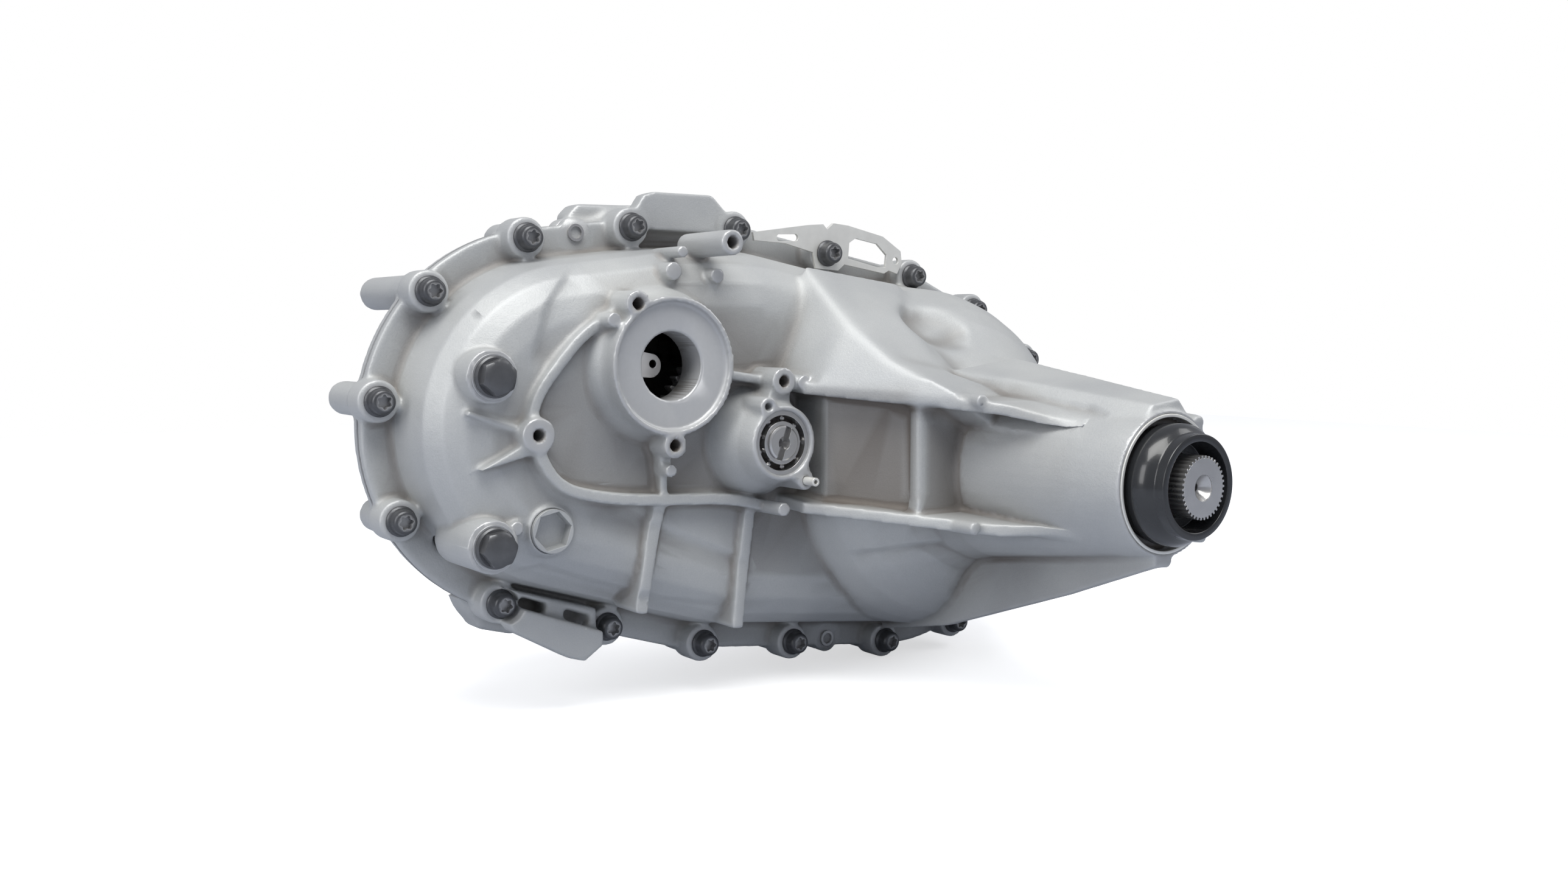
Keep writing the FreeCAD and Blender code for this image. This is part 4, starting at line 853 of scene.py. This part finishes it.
def bevelled(name, width, finish=None):
    """Copy of an exact part with its sharp edges rounded."""
    bm = merged(name)
    bmesh.ops.dissolve_limit(bm, angle_limit=math.radians(1.0), verts=bm.verts, edges=bm.edges)
    mesh = mesh_of(bm, name + "_edged")
    mesh.materials.append(finishes[finish or slot_of[name]])
    smooth_sides(mesh, 28)
    piece = link(name + "_edged", mesh)
    edge = piece.modifiers.new("edge", "BEVEL")
    edge.width = width
    edge.segments = 2
    edge.limit_method = "ANGLE"
    edge.angle_limit = math.radians(30)
    edge.use_clamp_overlap = True
    edge.harden_normals = True
    return stand_for(piece, name)


bevelled("socket_plug", 0.0004, finish="cast_aluminium")
for name, width in (("harness_bracket", 0.0006), ("port_stud", 0.0003), ("actuator_shaft", 0.0003),
                    ("actuator_bearing_outer", 0.0003), ("actuator_bearing_inner", 0.0003),
                    ("main_shaft", 0.0002), ("front_output_flange", 0.0006),
                    ("flange_nut", 0.0006), ("breather", 0.0005), ("motor_gear", 0.0003),
                    ("gear_guard", 0.0003), ("fill_washer", 0.0002), ("drain_washer", 0.0002)):
    bevelled(name, width)
print("bevelled copies made")

# %% [markdown]
# ## Floor
# A pale floor keeps attention on the metal and holds its shadow. Seen directly it is nearly
# white, and the metal sees a bluish grey instead, so that the undersides don't wash out.

# %% Floor


def floor_finish():
    finish = Finish("floor")
    seen = finish.node("ShaderNodeLightPath", output=0)
    tone = finish.mix(seen, (0.47, 0.50, 0.57), (0.93, 0.93, 0.93))
    finish.surface(Base_Color=tone, Roughness=0.9, Metallic=0.0)
    glow = finish.tree.nodes.new("ShaderNodeEmission")
    glow.inputs["Strength"].default_value = 0.58
    both = finish.tree.nodes.new("ShaderNodeAddShader")
    finish.tree.links.new(finish.shader.outputs[0], both.inputs[0])
    finish.tree.links.new(glow.outputs[0], both.inputs[1])
    pick = finish.tree.nodes.new("ShaderNodeMixShader")
    finish.tree.links.new(seen.socket, pick.inputs[0])
    finish.tree.links.new(finish.shader.outputs[0], pick.inputs[1])
    finish.tree.links.new(both.outputs[0], pick.inputs[2])
    output = finish.tree.nodes["Material Output"]
    finish.tree.links.new(pick.outputs[0], output.inputs[0])
    return finish.material


low, high = start_bounds
bm = bmesh.new()
bmesh.ops.create_grid(bm, x_segments=1, y_segments=1, size=2.4)
bmesh.ops.translate(bm, verts=bm.verts, vec=(0, 0, low[2] - 0.0005))
mesh = mesh_of(bm, "floor")
mesh.materials.append(floor_finish())
floor = link("floor", mesh)
print("floor at", low[2] - 0.0005)

# %% [markdown]
# ## World and lamps
# The surround is white where it is seen directly and dimmer as a light. One large soft lamp
# hangs above the rear half and makes its top surfaces lighter than its sides. Two weaker ones
# stand left and right, and a narrow beam reaches the guard and gear in the motor seat's bore.

# %% World and lamps

world = bpy.data.worlds.new("studio")
world.use_nodes = True
bpy.context.scene.world = world
tree = world.node_tree
backdrop = tree.nodes["Background"]
backdrop.inputs["Color"].default_value = (1.0, 1.0, 1.0, 1.0)
backdrop.inputs["Strength"].default_value = 1.0
gentle = tree.nodes.new("ShaderNodeBackground")
gentle.inputs["Color"].default_value = (0.88, 0.91, 1.0, 1.0)
gentle.inputs["Strength"].default_value = 0.40
path = tree.nodes.new("ShaderNodeLightPath")
choose = tree.nodes.new("ShaderNodeMixShader")
tree.links.new(path.outputs["Is Camera Ray"], choose.inputs[0])
tree.links.new(gentle.outputs[0], choose.inputs[1])
tree.links.new(backdrop.outputs[0], choose.inputs[2])
tree.links.new(choose.outputs[0], tree.nodes["World Output"].inputs[0])


def hang(name, data, place, target):
    """Puts a light in its place and turns it to its target."""
    light = link(name, data)
    light.location = place
    light.rotation_euler = (Vector(target) - Vector(place)).to_track_quat("-Z", "Y").to_euler()


def lamp(name, place, target, size, power, colour=(1, 1, 1)):
    data = bpy.data.lights.new(name, "AREA")
    data.shape = "RECTANGLE"
    data.size, data.size_y = size
    data.energy = power
    data.color = colour
    hang(name, data, place, target)


middle = ((low[0] + high[0]) / 2, (low[1] + high[1]) / 2, 0.0)
lamp("key", (-0.55, -0.75, 1.5), middle, (1.5, 1.0), 31, (1.0, 0.995, 0.97))
lamp("side", (-1.7, -0.4, 0.6), middle, (0.7, 1.0), 8)
lamp("edge", (1.2, -0.7, 1.0), middle, (0.7, 1.0), 5)


def peep(name, place, target, power):
    """Narrow beam that shows what lies inside a bore."""
    data = bpy.data.lights.new(name, "SPOT")
    data.energy = power
    data.spot_size = math.radians(4.0)
    data.spot_blend = 0.6
    data.shadow_soft_size = 0.02
    hang(name, data, place, target)


peep("peep", (-0.03, -0.80, 0.15), (seat_axis[0] - 0.004, seat_end + 0.03, seat_axis[1]), 3.0)

# %% [markdown]
# ## Camera
# The camera stands close to the output end, a little above the shaft, and looks along a
# heading from +Y towards +X with a slight dip.

# %% Camera

heading, dip = math.radians(35.5), math.radians(4.5)
look = Vector((math.sin(heading) * math.cos(dip), math.cos(heading) * math.cos(dip),
               -math.sin(dip)))
camera_data = bpy.data.cameras.new("camera")
camera_data.lens = 32.84
camera_data.sensor_width = 36.0
camera_data.clip_start = 0.01
camera = link("camera", camera_data)
camera.location = (-0.6097, -0.7504 + face_y, 0.0831)
camera.rotation_euler = look.to_track_quat("-Z", "Y").to_euler()
bpy.context.scene.camera = camera
bpy.context.scene.view_settings.view_transform = "Standard"
